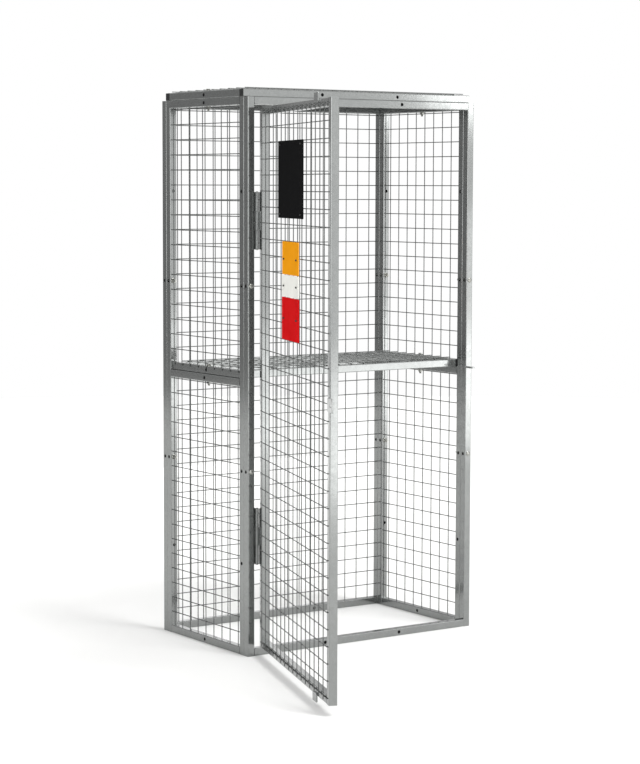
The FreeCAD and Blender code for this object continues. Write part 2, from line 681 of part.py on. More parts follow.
def panel_fasteners():
    """Bolts down through the roof and shelf into the side panels, with nuts and washers."""
    bolts = []
    nuts = []
    washers = []
    stack = "2 * sizes.tube_size + sizes.washer_height + sizes.nut_height + sizes.bolt_end"
    eye_radius = "sizes.bolt_dia / 2 + sizes.bolt_clearance"
    for tray, top in (("roof", roof_top), ("shelf", shelf_top)):
        for side, x in (("left", panel_bolt_x), ("right", mm["cage_width"] - panel_bolt_x)):
            place = f"{tray}_{side}"
            bolts.append(flange_bolt(f"{place}_bolt", stack, x, mid_depth, top, DOWNWARD))
            washer_z = top - 2 * tube - mm["washer_height"]
            disc = rod(f"{place}_disc", "sizes.washer_dia / 2", "sizes.washer_height")
            eye = rod(f"{place}_eye", eye_radius, "sizes.washer_height")
            washers.append(put(cut(f"{place}_washer", disc, eye), x, mid_depth, washer_z))
            nuts.append(nut(f"{place}_nut", x, mid_depth, washer_z, DOWNWARD, flanged=False))
    group("panel_bolts", bolts)
    group("panel_nuts", nuts)
    group("panel_washers", washers)


# Hinges


KNUCKLE = "(sizes.hinge_length / 3)"
BORE = "sizes.pin_dia / 2 + sizes.pin_clearance"
BARREL = "sizes.knuckle_dia / 2"
RELIEF = "sizes.knuckle_dia / 2 + sizes.knuckle_clearance"
LEAF_WIDTH = "sizes.hinge_offset + sizes.hinge_leaf_reach"


def knuckle_rod(name, radius, height, base):
    """A cylinder about the hinge axis, from a height above the hinge's lower end."""
    cylinder = rod(name, radius, height)
    cylinder.Placement.Base = FreeCAD.Vector(0, 0, base)
    return cylinder


def leaf_plate(name, left):
    """The flat part of a hinge leaf, at a distance beside the hinge axis."""
    plate = box(name, "sizes.hinge_leaf", LEAF_WIDTH, "sizes.hinge_length")
    plate.Placement.Base = FreeCAD.Vector(left, 0, 0)
    return plate


def post_leaf(name, base):
    """The leaf on the post, with an upper and a lower knuckle."""
    third = mm["hinge_length"] / 3
    plate = leaf_plate(f"{name}_plate", tube - hinge_x)
    barrel = knuckle_rod(f"{name}_barrel", BARREL, "sizes.hinge_length", 0)
    relief = knuckle_rod(f"{name}_relief", RELIEF, KNUCKLE, third)
    bore = knuckle_rod(f"{name}_bore", BORE, "sizes.hinge_length", 0)
    solid = cut(f"{name}_relieved", fuse(f"{name}_blank", [plate, barrel]), relief)
    keep(put(cut(name, solid, bore), hinge_x, hinge_y, base), name)


def door_leaf(name, base):
    """The leaf on the door's edge, with the middle knuckle."""
    third = mm["hinge_length"] / 3
    plate = leaf_plate(f"{name}_plate", door_left - mm["hinge_leaf"] - hinge_x)
    gap = mm["knuckle_end_gap"]
    relief_height = f"{KNUCKLE} + sizes.knuckle_end_gap"
    low = knuckle_rod(f"{name}_low_relief", RELIEF, relief_height, 0)
    high = knuckle_rod(f"{name}_high_relief", RELIEF, relief_height, 2 * third - gap)
    trimmed = cut(f"{name}_trimmed", cut(f"{name}_half", plate, low), high)
    barrel = knuckle_rod(f"{name}_barrel", BARREL, f"{KNUCKLE} - 2 * sizes.knuckle_end_gap", third + gap)
    bore = knuckle_rod(f"{name}_bore", BORE, "sizes.hinge_length", 0)
    solid = fuse(f"{name}_blank", [trimmed, barrel])
    keep(put_on_door(cut(name, solid, bore), hinge_x, hinge_y, base), name)


def hinge_pin(name, base):
    """A pin with a head at both ends."""
    shaft = knuckle_rod(f"{name}_shaft", "sizes.pin_dia / 2", "sizes.hinge_length", 0)
    end = ("sizes.pin_head_dia / 2", "sizes.pin_head_height")
    foot = knuckle_rod(f"{name}_foot", *end, -mm["pin_head_height"])
    head = knuckle_rod(f"{name}_head", *end, mm["hinge_length"])
    keep(put(fuse(name, [shaft, foot, head]), hinge_x, hinge_y, base), name)


def hinges():
    """An upper and a lower hinge, the same distance from the door's middle."""
    for level, sign in (("lower", -1), ("upper", 1)):
        base = door_middle + sign * mm["hinge_spacing"] / 2 - mm["hinge_length"] / 2
        post_leaf(f"{level}_hinge_post_leaf", base)
        door_leaf(f"{level}_hinge_door_leaf", base)
        hinge_pin(f"{level}_hinge_pin", base)


# Lock and stops


def rounded(name, blank, radius, direction):
    """A block with its four edges along X, Y or Z rounded."""
    document.recompute()
    edges = []
    for index, edge in enumerate(blank.Shape.Edges, start=1):
        along = edge.Vertexes[-1].Point - edge.Vertexes[0].Point
        if abs(along.normalize().dot(direction)) > 0.99:
            edges.append((index, radius, radius))
    filleted = document.addObject("Part::Fillet", name)
    filleted.Base = blank
    filleted.Edges = edges
    return filleted


def lock_lug():
    """A level plate on the right post with a hole for the padlock."""
    left = mm["cage_width"] - tube / 2 - mm["lug_width"] / 2
    blank = box("lug_blank", "sizes.lug_width", "sizes.lug_reach", "sizes.lug_thickness")
    eye = rod("lug_eye", "sizes.lug_hole_dia / 2", "sizes.lug_thickness")
    eye.Placement.Base = FreeCAD.Vector(mm["lug_width"] / 2, mm["lug_hole_edge"], 0)
    lug = cut("lock_lug", blank, eye)
    keep(put(lug, left, -mm["lug_reach"], door_middle - mm["lug_thickness"] / 2), "lock_lug")


def hasp_plate():
    """A plate on the lock stile that reaches over the post, with a slot for the lug."""
    lug_middle = mm["cage_width"] - tube / 2
    left = door_right - mm["hasp_seat"]
    slot_left = lug_middle - mm["lug_width"] / 2 - mm["slot_clearance_side"]
    slot_width = "(sizes.lug_width + 2 * sizes.slot_clearance_side)"
    slot_height = "sizes.lug_thickness + 2 * sizes.slot_clearance_level"
    reach = f"{slot_left - left} + {slot_width} + sizes.hasp_rim"
    blank = box("hasp_blank", reach, "sizes.hasp_thickness", "sizes.hasp_height")
    rounded_blank = rounded("hasp_corners", blank, mm["plate_corner"], FreeCAD.Vector(0, 1, 0))
    slot = box("hasp_slot", slot_width, "sizes.hasp_thickness", slot_height)
    slot_base = mm["hasp_height"] / 2 - mm["lug_thickness"] / 2 - mm["slot_clearance_level"]
    slot.Placement.Base = FreeCAD.Vector(slot_left - left, 0, slot_base)
    hasp = cut("hasp_plate", rounded_blank, slot)
    y = door_face - mm["hasp_thickness"]
    keep(put_on_door(hasp, left, y, door_middle - mm["hasp_height"] / 2), "hasp_plate")


def stop_tabs():
    """Tabs on the door that rest on the front frame's top and bottom rails when it is shut."""
    tabs = []
    reach = mm["door_gap"] + mm["stop_tab_lap"]
    length = "sizes.stop_tab_seat + sizes.door_gap + sizes.stop_tab_lap"
    bases = (("bottom", door_base - reach), ("top", door_base + door_height - mm["stop_tab_seat"]))
    for level, base in bases:
        tab = box(f"{level}_stop_tab", "sizes.stop_tab_width", "sizes.stop_tab_thickness", length)
        x = mm["cage_width"] - mm["stop_tab_place"] - mm["stop_tab_width"] / 2
        tabs.append(put_on_door(tab, x, door_face - mm["stop_tab_thickness"], base))
    group("door_stop_tabs", tabs)


# Plain sign plates, tied to the door's mesh


mesh_front = door_face - 2 * wire
plate_front = mesh_front - mm["sign_thickness"]
tie_half = wire / 2 + mm["tie_clearance"] + mm["tie_thickness"]
TIE_HALF = "(sizes.wire_dia / 2 + sizes.tie_clearance + sizes.tie_thickness)"


def tie_heights(base, height, edge):
    """Heights of the cable ties of a plate: two rows, or one row in the middle."""
    if edge is None:
        return [base + height / 2]
    return [base + edge, base + height - edge]


def cable_tie(name, x, z):
    """A closed band around one upright wire and the strip of plate in front of it."""
    depth = "(sizes.sign_thickness + sizes.wire_dia + 2 * sizes.tie_thickness)"
    outer = box(f"{name}_band", f"2 * {TIE_HALF}", depth, "sizes.tie_width")
    inner_width = f"2 * {TIE_HALF} - 2 * sizes.tie_thickness"
    inner = box(f"{name}_inside", inner_width, "sizes.sign_thickness + sizes.wire_dia", "sizes.tie_width")
    inner.Placement.Base = FreeCAD.Vector(mm["tie_thickness"], mm["tie_thickness"], 0)
    band = cut(name, outer, inner)
    y = plate_front - mm["tie_thickness"]
    return put_on_door(band, x - tie_half, y, z - mm["tie_width"] / 2)


def sign_plate(name, width, height, width_size, height_size, base, tie_x, tie_z):
    """A flat plate with rounded corners and a pair of slits for each cable tie."""
    left = mid_width - width / 2
    blank = box(f"{name}_blank", width_size, "sizes.sign_thickness", height_size)
    plate = rounded(f"{name}_corners", blank, mm["sign_corner"], FreeCAD.Vector(0, 1, 0))
    slits = []
    slit_width = "sizes.tie_thickness + 2 * sizes.tie_clearance"
    slit_height = "sizes.tie_width + 2 * sizes.tie_clearance"
    for row, z in enumerate(tie_z):
        for column, x in enumerate(tie_x):
            for side, edge in (("left", x - tie_half), ("right", x + tie_half - mm["tie_thickness"])):
                slit_name = f"{name}_{side}_slit_{row}_{column}"
                slit = box(slit_name, slit_width, "sizes.sign_thickness", slit_height)
                slit_x = edge - mm["tie_clearance"] - left
                slit_z = z - mm["tie_width"] / 2 - mm["tie_clearance"] - base
                slit.Placement.Base = FreeCAD.Vector(slit_x, 0, slit_z)
                slits.append(slit)
    tools = fuse(f"{name}_slits", slits)
    keep(put_on_door(cut(name, plate, tools), left, plate_front, base), name)


def sign_plates():
    """A black plate above a column of three smaller plates, all left plain."""
    white_base = mm["red_sign_base"] + mm["red_sign_height"] + mm["sign_gap"]
    amber_base = white_base + mm["white_sign_height"] + mm["sign_gap"]
    black_base = amber_base + mm["amber_sign_height"] + mm["top_sign_gap"]
    plates = (
        ("black_sign_plate", "top_sign_width", "top_sign_height", black_base, mm["tie_edge"]),
        ("amber_sign_plate", "amber_sign_width", "amber_sign_height", amber_base, None),
        ("white_sign_plate", "small_sign_width", "white_sign_height", white_base, None),
        ("red_sign_plate", "small_sign_width", "red_sign_height", mm["red_sign_base"], None),
    )
    tie_space = (wire + mm["tie_width"]) / 2 + mm["tie_clearance"]
    ties = []
    for name, width_name, height_name, base, edge in plates:
        width = mm[width_name]
        height = mm[height_name]
        behind = [x for x in door_uprights if abs(x - mid_width) <= width / 2 - mm["tie_edge"]]
        tie_x = [behind[0], behind[-1]]
        tie_z = [clear_of(door_levels, z, tie_space) for z in tie_heights(base, height, edge)]
        sizes_of_plate = (f"sizes.{width_name}", f"sizes.{height_name}")
        sign_plate(name, width, height, *sizes_of_plate, base, tie_x, tie_z)
        for row, z in enumerate(tie_z):
            for column, x in enumerate(tie_x):
                ties.append(cable_tie(f"{name}_tie_{row}_{column}", x, z))
    group("sign_ties", ties)


def build():
    """Make every sub-part of the cage."""
    front_frame()
    back_frame()
    side_frame("left", tube / 2, panel_bolt_x)
    side_frame("right", mm["cage_width"] - tube / 2, mm["cage_width"] - panel_bolt_x)
    roof = ("roof", 0, tube, mm["post_height"])
    shelf = ("shelf", shelf_left, shelf_front, mm["mid_rail_top"])
    tray_frame(*roof, ROOF_WIDTH, ROOF_DEPTH, long_through=True)
    tray_frame(*shelf, SHELF_WIDTH, SHELF_DEPTH, long_through=False)
    door_frame()
    side_mesh("left", 0, 1)
    side_mesh("right", mm["cage_width"], -1)
    back_mesh()
    roof_edge = mm["roof_edge_margin"]
    shelf_edge = mm["shelf_edge_margin"]
    tray_mesh("roof", 0, tube, roof_top, roof_edge, ROOF_WIDTH, ROOF_DEPTH)
    tray_mesh("shelf", shelf_left, shelf_front, shelf_top, shelf_edge, SHELF_WIDTH, SHELF_DEPTH)
    door_mesh()
    tray_caps(*roof, long_through=True)
    tray_caps(*shelf, long_through=False)
    post_caps()
    door_caps()
    joint_fasteners()
    panel_fasteners()
    hinges()
    lock_lug()
    hasp_plate()
    stop_tabs()
    sign_plates()
    document.recompute()


def check():
    """Stop if a feature failed or a sub-part has no sound shape."""
    for item in document.Objects:
        if "Invalid" in item.State or "Error" in item.State:
            raise RuntimeError(f"{item.Label} failed: {item.State}")
    for node in nodes:
        if node.Shape.isNull() or not node.Shape.isValid() or not node.Shape.Solids:
            raise RuntimeError(f"{node.Label} has no sound solid")


def write():
    """Write each sub-part to its own file."""
    os.makedirs("parts", exist_ok=True)
    for node in nodes:
        node.Shape.exportStep(f"parts/{node.Label}.step")


build()
check()
write()
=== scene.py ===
"""Looks of a galvanised gas cylinder cage: square-tube panels, welded mesh and one hinged door."""

import json
import logging
import math
from dataclasses import dataclass, replace
from enum import Enum

import bpy
import numpy as np
from mathutils import Matrix, Vector


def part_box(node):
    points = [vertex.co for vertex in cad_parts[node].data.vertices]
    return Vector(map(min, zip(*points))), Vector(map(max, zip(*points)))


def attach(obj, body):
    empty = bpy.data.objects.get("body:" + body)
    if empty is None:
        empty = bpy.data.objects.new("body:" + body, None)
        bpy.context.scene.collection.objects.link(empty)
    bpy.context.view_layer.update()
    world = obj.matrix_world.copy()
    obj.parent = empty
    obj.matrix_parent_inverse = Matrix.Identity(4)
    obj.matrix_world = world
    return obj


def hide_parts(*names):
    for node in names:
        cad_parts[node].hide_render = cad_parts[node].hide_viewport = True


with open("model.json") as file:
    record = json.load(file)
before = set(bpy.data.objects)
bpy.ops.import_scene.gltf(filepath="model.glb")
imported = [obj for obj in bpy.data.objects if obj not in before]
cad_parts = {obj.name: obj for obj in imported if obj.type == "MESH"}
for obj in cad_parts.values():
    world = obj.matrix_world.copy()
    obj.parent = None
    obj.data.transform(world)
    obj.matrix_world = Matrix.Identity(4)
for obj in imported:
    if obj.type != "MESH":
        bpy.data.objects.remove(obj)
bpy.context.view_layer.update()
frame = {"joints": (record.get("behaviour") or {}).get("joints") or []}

log = logging.getLogger("cage")

Point = tuple[float, float, float]
# Rows of radius and height. Where a shape isn't round, a row has one number for each step round it.
Profile = list[tuple[float | np.ndarray, float | np.ndarray]]
# Values and outputs of other nodes, by the name or number of the socket that takes them.
Sockets = dict[int | str, object]

IMAGE_HEIGHT_PX = 764
MM = 0.001
MERGE_STEP = 1e-6
TINY = 1e-12
SPLIT_ANGLE = 42.0
UNTURNED = np.eye(3)


def node_box(node: str) -> tuple[np.ndarray, ...]:
    """A solid's lowest and highest corner in the shared frame, in millimetres to a hundredth."""
    return tuple(np.round(np.array(corner) / MM, 2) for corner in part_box(node))


@dataclass(frozen=True)
class CageSizes:
    """Sizes shared by the whole cage, in millimetres. Those without a default are read off the solids."""

    width: float
    depth: float
    post: float
    tube: float
    mid_rail_top: float
    shelf_left: float
    shelf_front: float
    door_base: float
    door_top: float
    hinge_x: float
    hinge_y: float
    open_angle: float
    wall: float = 1.5
    corner: float = 2.5
    pitch: float = 49.3
    wire: float = 3.0
    setback: float = 3.5
    hole: float = 5.5
    bolt_hole: float = 4.2
    hole_spacing: float = 300.0
    joint_height: float = 593.0
    vent_height: float = 296.0
    shelf_mesh_lap: float = 8.5
    bolt_line: float = 18.0
    door_face: float = -0.5

    @classmethod
    def from_frame(cls) -> "CageSizes":
        """Read sizes and places off the posts, a rail, a shelf tube, a door stile and the hinge joint.

        Returns:
            The sizes, measured from the cage's own front left corner.
        """
        near, far = node_box("front_left_post")
        shelf = node_box("shelf_left_tube")[0] - near
        stile_low, stile_high = node_box("door_hinge_stile")
        joint = frame["joints"][0]
        hinge = np.round(np.array(joint["pos_m"]) / MM, 2) - near
        return cls(
            width=node_box("front_right_post")[1][0] - near[0],
            depth=node_box("back_left_post")[1][1] - near[1],
            post=far[2],
            tube=far[0] - near[0],
            mid_rail_top=node_box("back_mid_rail")[1][2],
            shelf_left=shelf[0],
            shelf_front=shelf[1],
            door_base=stile_low[2],
            door_top=stile_high[2],
            hinge_x=hinge[0],
            hinge_y=hinge[1],
            open_angle=-joint["range_deg"][0],
        )


SIZES = CageSizes.from_frame()
CAGE_CORNER = node_box("front_left_post")[0]
HALF_TUBE = SIZES.tube / 2
HALF_BORE = HALF_TUBE - SIZES.wall
# The door keeps the same distance from both sides as its foot keeps from the floor.
DOOR_LEFT = SIZES.door_base
DOOR_RIGHT = SIZES.width - SIZES.door_base
DOOR_TURN = math.radians(-SIZES.open_angle)
# Middles of the posts and of the side panels' uprights, first the front ones and then the rear ones.
POST_LINES = (HALF_TUBE, SIZES.depth - HALF_TUBE)
UPRIGHT_LINES = (1.5 * SIZES.tube, SIZES.depth - 1.5 * SIZES.tube)
RAIL_LENGTH = SIZES.width - 2 * SIZES.tube


class Carrier(Enum):
    """The rigid body that a piece rides on."""

    CAGE = "cage"
    DOOR = "door"


class Along(Enum):
    """The direction of a tube or wire: its own length and its two cross directions."""

    X = ((1, 0, 0), (0, 1, 0), (0, 0, 1))
    Y = ((0, 1, 0), (0, 0, 1), (1, 0, 0))
    Z = ((0, 0, 1), (1, 0, 0), (0, 1, 0))

    def basis(self) -> np.ndarray:
        """Rows are the length direction and the first and second cross direction."""
        return np.array(self.value, float)


class Wall(Enum):
    """One wall of a square tube, by the way that it faces in the two cross directions."""

    FIRST_HIGH = (1, 0)
    SECOND_HIGH = (0, 1)
    FIRST_LOW = (-1, 0)
    SECOND_LOW = (0, -1)

    def directions(self) -> np.ndarray:
        """Rows are the tube's length, across the wall and out of the wall, in (length, first, second)."""
        first, second = self.value
        return np.array([(1, 0, 0), (0, -second, first), (0, first, second)], float)

    def across(self, offset: float) -> float:
        """An offset along the other cross direction, as measured along the wall's own width."""
        first, second = self.value
        return offset * (first - second)


FIRST_WALLS = (Wall.FIRST_HIGH, Wall.FIRST_LOW)
SECOND_WALLS = (Wall.SECOND_HIGH, Wall.SECOND_LOW)


class Named(Enum):
    """An option whose name is part of its solids' names."""

    def label(self) -> str:
        """Its name as the solids' names have it."""
        return self.name.lower()


class Side(Named):
    """Left or right as seen from the front: the outer face and the way to the middle."""

    LEFT = (0.0, 1.0)
    RIGHT = (SIZES.width, -1.0)

    def inset(self, distance: float) -> float:
        """The X that lies a distance inside this side's outer face."""
        return self.value[0] + self.value[1] * distance


class Level(Named):
    """A rail's place in a panel, with the height of its middle."""

    TOP = SIZES.post - HALF_TUBE
    MID = SIZES.mid_rail_top - HALF_TUBE
    BOTTOM = HALF_TUBE


@dataclass
class Skin:
    """Points and four-cornered faces of a surface, in millimetres from the cage's own corner."""

    points: np.ndarray
    quads: np.ndarray

    @staticmethod
    def join(skins: list["Skin"]) -> "Skin":
        """Put several surfaces into one.

        Args:
            skins: The surfaces.

        Returns:
            One surface with all their points and faces.
        """
        starts = np.cumsum([0] + [len(skin.points) for skin in skins[:-1]])
        points = np.concatenate([skin.points for skin in skins])
        quads = np.concatenate([skin.quads + start for skin, start in zip(skins, starts)])
        return Skin(points, quads)

    def moved(self, turn: np.ndarray, shift: Point) -> "Skin":
        """The surface with its own X, Y and Z along the rows of a turn and its origin at a shift."""
        return Skin(self.points @ turn + np.array(shift, float), self.quads)


def grid_quads(
    rows: int, columns: int, wrap_rows: bool = False, wrap_columns: bool = False,
) -> np.ndarray:
    """Faces of a grid whose points are stored row by row.

    Args:
        rows: Number of rows of points.
        columns: Number of points in a row.
        wrap_rows: Whether the last row joins the first.
        wrap_columns: Whether the last point of a row joins its first.

    Returns:
        Four point numbers for each face.
    """
    row = np.arange(rows if wrap_rows else rows - 1)[:, None]
    column = np.arange(columns if wrap_columns else columns - 1)[None, :]
    below = row * columns
    above = ((row + 1) % rows) * columns
    right = (column + 1) % columns
    corners = (below + column, below + right, above + right, above + column)
    return np.stack([corner.ravel() for corner in corners], axis=1)


def round_angles(steps: int) -> np.ndarray:
    """Angles of equal steps once round, in radians."""
    return np.linspace(0, 2 * math.pi, steps, endpoint=False)


def lathe(profile: Profile, sides: int, ring: bool = False) -> Skin:
    """Turn a profile about Z: (r, z) goes round as (r cos t, r sin t, z).

    Args:
        profile: Rows of radius and height.
        sides: Number of steps round the axis.
        ring: Whether the last row joins the first, as round a hole.

    Returns:
        The turned surface.
    """
    angle = round_angles(sides)
    even = [[np.broadcast_to(value, sides) for value in row] for row in profile]
    radius, height = np.array(even, float).transpose(1, 0, 2)
    points = np.stack([radius * np.cos(angle), radius * np.sin(angle), height], axis=-1)
    return Skin(points.reshape(-1, 3), grid_quads(len(profile), sides, wrap_rows=ring, wrap_columns=True))


def split_normals(points: np.ndarray, triangles: np.ndarray) -> np.ndarray:
    """Corner normals that keep flat faces flat and rounded ones smooth.

    Each corner takes the sum of the area vectors of the faces round its point that lean away
    from its own face by less than the split angle, so wide flats outweigh narrow roundings.

    Args:
        points: Points of the mesh.
        triangles: Three point numbers for each face.

    Returns:
        One normal for each corner of each triangle.
    """
    first, second, third = points[triangles].transpose(1, 0, 2)
    area = np.cross(second - first, third - first)
    unit = area / np.maximum(np.linalg.norm(area, axis=1, keepdims=True), TINY)
    corners = triangles.ravel()
    order = np.argsort(corners, kind="stable")
    count = np.bincount(corners, minlength=len(points))
    start = np.cumsum(count) - count
    face = order // 3
    per_corner = count[corners[order]]
    corner = np.repeat(np.arange(len(order)), per_corner)
    step = np.arange(len(corner)) - np.repeat(np.cumsum(per_corner) - per_corner, per_corner)
    partner = face[start[corners[order]][corner] + step]
    lean = np.einsum("ij,ij->i", unit[face[corner]], unit[partner])
    near = lean > math.cos(math.radians(SPLIT_ANGLE))
    total = np.zeros((len(order), 3))
    np.add.at(total, corner[near], area[partner[near]])
    normals = np.empty_like(total)
    normals[order] = total / np.maximum(np.linalg.norm(total, axis=1, keepdims=True), TINY)
    return normals


def to_frame(points: np.ndarray, carrier: Carrier) -> np.ndarray:
    """Take points from millimetres of the cage's corner to metres of the shared frame.

    Door points are given for the shut door and swing about the hinge line to the rest pose.

    Args:
        points: Points in millimetres.
        carrier: The body that carries them.

    Returns:
        Points in metres.
    """
    placed = points.copy()
    if carrier is Carrier.DOOR:
        pivot = np.array([SIZES.hinge_x, SIZES.hinge_y])
        cosine, sine = math.cos(DOOR_TURN), math.sin(DOOR_TURN)
        placed[:, :2] = (points[:, :2] - pivot) @ np.array([[cosine, sine], [-sine, cosine]]) + pivot
    return (placed + CAGE_CORNER) * MM


def make_piece(
    node: str, skins: list[Skin], finish: "Finish", carrier: Carrier = Carrier.CAGE,
) -> None:
    """Make one object of the scene from its surfaces, dress it and let it stand for its solid.

    Points that fall together are merged, and faces that close up by that are dropped.

    Args:
        node: The solid that it stands for.
        skins: Its surfaces in millimetres.
        finish: Its finish, whose stuff is also the last word of the piece's name.
        carrier: The body that it rides on.
    """
    name = f"{node}.{finish.stuff}"
    skin = Skin.join(skins)
    points = to_frame(skin.points, carrier)
    cells = np.round(points / MERGE_STEP).astype(np.int64)
    _, first, merged = np.unique(cells, axis=0, return_index=True, return_inverse=True)
    points = points[first]
    quads = merged.reshape(-1)[skin.quads]
    triangles = np.concatenate([quads[:, [0, 1, 2]], quads[:, [0, 2, 3]]])
    triangles = triangles[np.all(triangles != np.roll(triangles, 1, axis=1), axis=1)]
    mesh = bpy.data.meshes.new(name)
    mesh.vertices.add(len(points))
    mesh.vertices.foreach_set("co", points.astype(np.float32).ravel())
    mesh.loops.add(triangles.size)
    mesh.loops.foreach_set("vertex_index", triangles.astype(np.int32).ravel())
    mesh.polygons.add(len(triangles))
    mesh.polygons.foreach_set("loop_start", np.arange(0, triangles.size, 3, dtype=np.int32))
    mesh.update(calc_edges=True)
    mesh.polygons.foreach_set("use_smooth", np.ones(len(triangles), dtype=bool))
    mesh.normals_split_custom_set(split_normals(points, triangles))
    mesh.materials.append(finish.material())
    piece = bpy.data.objects.new(name, mesh)
    bpy.context.scene.collection.objects.link(piece)
    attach(piece, carrier.value)
    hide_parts(node)
    log.info("%s: %d triangles on %s", name, len(triangles), carrier.value)


def linear(hex_colour: str) -> tuple[float, float, float, float]:
    """Turn an sRGB colour into a linear one.

    Args:
        hex_colour: The colour as a hash sign and six hexadecimal digits.

    Returns:
        Linear red, green, blue and alpha.
    """
    channels = np.array([int(hex_colour[start:start + 2], 16) for start in (1, 3, 5)]) / 255
    curve = np.where(channels <= 0.04045, channels / 12.92, ((channels + 0.055) / 1.055) ** 2.4)
    return (*(float(value) for value in curve), 1.0)


def per_metre(size_mm: float) -> float:
    """Texture scale whose features are about a size in millimetres, on coordinates in metres."""
    return 1.0 / (size_mm * MM)


def set_inputs(tree: bpy.types.NodeTree, node: bpy.types.Node, inputs: Sockets) -> None:
    """Give a node's sockets their values or link them to the outputs of other nodes.

    Args:
        tree: The nodes that it belongs to.
        node: The node.
        inputs: Values and outputs, by socket.
    """
    for socket, value in inputs.items():
        if isinstance(value, bpy.types.NodeSocket):
            tree.links.new(value, node.inputs[socket])
        else:
            node.inputs[socket].default_value = value


def add_node(
    tree: bpy.types.NodeTree, kind: str, inputs: Sockets, output: int | str = 0, **settings: object,
) -> bpy.types.NodeSocket:
    """Add one shader node.

    Args:
        tree: The nodes that it joins.
        kind: The node's type, without the words that all of them begin with.
        inputs: Values and outputs of other nodes, by socket.
        output: The output that is wanted.
        settings: The node's own settings.

    Returns:
        That output.
    """
    node = tree.nodes.new(f"ShaderNode{kind}")
    for name, value in settings.items():
        setattr(node, name, value)
    set_inputs(tree, node, inputs)
    return node.outputs[output]


# A mix node has the same socket names for numbers and for colours, so these go by their place.
FACTOR, NUMBER_A, NUMBER_B, COLOUR_A, COLOUR_B = 0, 2, 3, 6, 7
MIXED_COLOUR = 2


@dataclass(frozen=True)
class Finish:
    """A finish of the real surface, the record's slot for it and the last word of its pieces' names."""

    name: str
    slot: str = ""
    stuff: str = ""

    def paint(self, tree: bpy.types.NodeTree) -> Sockets:
        """Values and outputs for the shader's sockets. Each kind of finish has its own."""
        raise NotImplementedError

    def material(self) -> bpy.types.Material:
        """Make the finish's material on its first use.

        Returns:
            The material.
        """
        known = bpy.data.materials.get(self.name)
        if known is not None:
            return known
        material = bpy.data.materials.new(self.name)
        material.use_nodes = True
        tree = material.node_tree
        set_inputs(tree, tree.nodes["Principled BSDF"], self.paint(tree))
        return material


@dataclass(frozen=True)
class Galvanised(Finish):
    """Hot-dip zinc on steel: a grey satin metal with a faint mosaic of zinc crystals.

    It gives the eye soft wide highlights, crystal patches of slightly different grey and dull
    clouds where the zinc has weathered.
    """

    light: str = "#929493"
    dark: str = "#8c8e8d"
    cloud: str = "#848685"
    spangle_mm: float = 9.0
    cloud_mm: float = 140.0
    # Real grit is finer than a millimetre. It is drawn this coarse so that it shows.
    grit_mm: float = 5.0
    smooth: float = 0.13
    dull: float = 0.18
    crystal_gloss: float = 0.45
    metallic: float = 0.92

    def paint(self, tree: bpy.types.NodeTree) -> Sockets:
        """Crystal cells shift the grey and the gloss; clouds dull them; fine grit is a low bump.

        Args:
            tree: The material's nodes.

        Returns:
            Values and outputs for the shader's sockets.
        """
        place = add_node(tree, "TexCoord", {}, "Object")
        cells = add_node(tree, "TexVoronoi", {
            "Vector": place, "Scale": per_metre(self.spangle_mm),
        }, "Color")
        crystal = add_node(tree, "SeparateColor", {"Color": cells})
        clouds = add_node(tree, "TexNoise", {
            "Vector": place, "Scale": per_metre(self.cloud_mm), "Detail": 5.0, "Roughness": 0.6,
        })
        cover = add_node(tree, "MapRange", {
            "Value": clouds, "From Min": 0.42, "From Max": 0.78, "To Max": 0.5,
        })
        clean = add_node(tree, "Mix", {
            FACTOR: crystal, COLOUR_A: linear(self.light), COLOUR_B: linear(self.dark),
        }, MIXED_COLOUR, data_type="RGBA")
        colour = add_node(tree, "Mix", {
            FACTOR: cover, COLOUR_A: clean, COLOUR_B: linear(self.cloud),
        }, MIXED_COLOUR, data_type="RGBA")
        wear = add_node(
            tree, "Math", {0: crystal, 1: self.crystal_gloss, 2: cover}, operation="MULTIPLY_ADD",
        )
        roughness = add_node(tree, "MapRange", {
            "Value": wear, "From Max": 1.2, "To Min": self.smooth, "To Max": self.dull,
        })
        grit = add_node(tree, "TexNoise", {
            "Vector": place, "Scale": per_metre(self.grit_mm), "Detail": 3.0,
        })
        bump = add_node(tree, "Bump", {"Height": grit, "Strength": 0.008, "Distance": 0.2 * MM})
        return {"Base Color": colour, "Metallic": self.metallic, "Roughness": roughness, "Normal": bump}


@dataclass(frozen=True)
class Moulded(Finish):
    """Moulded plastic: one colour with a fine satin grain and a few scuffed patches.

    It gives the eye a soft broken highlight and slightly greyer rubbed places.
    """

    colour: str = "#141516"
    scuff: str = "#2b2d2f"
    grain_mm: float = 0.8
    scuff_mm: float = 18.0
    smooth: float = 0.42
    dull: float = 0.62
    sheen: float = 0.4

    def paint(self, tree: bpy.types.NodeTree) -> Sockets:
        """Scuff noise lifts the colour and the roughness; grain noise is a low bump.

        Args:
            tree: The material's nodes.

        Returns:
            Values and outputs for the shader's sockets.
        """
        place = add_node(tree, "TexCoord", {}, "Object")
        scuffs = add_node(tree, "TexNoise", {
            "Vector": place, "Scale": per_metre(self.scuff_mm), "Detail": 6.0, "Roughness": 0.65,
        })
        cover = add_node(tree, "MapRange", {"Value": scuffs, "From Min": 0.45, "From Max": 0.8})
        colour = add_node(tree, "Mix", {
            FACTOR: cover, COLOUR_A: linear(self.colour), COLOUR_B: linear(self.scuff),
        }, MIXED_COLOUR, data_type="RGBA")
        roughness = add_node(tree, "MapRange", {
            "Value": cover, "To Min": self.smooth, "To Max": self.dull,
        })
        grain = add_node(tree, "TexNoise", {
            "Vector": place, "Scale": per_metre(self.grain_mm), "Detail": 2.0,
        })
        bump = add_node(tree, "Bump", {"Height": grain, "Strength": 0.12, "Distance": 0.1 * MM})
        return {
            "Base Color": colour, "Roughness": roughness, "Normal": bump, "Specular IOR Level": self.sheen,
        }


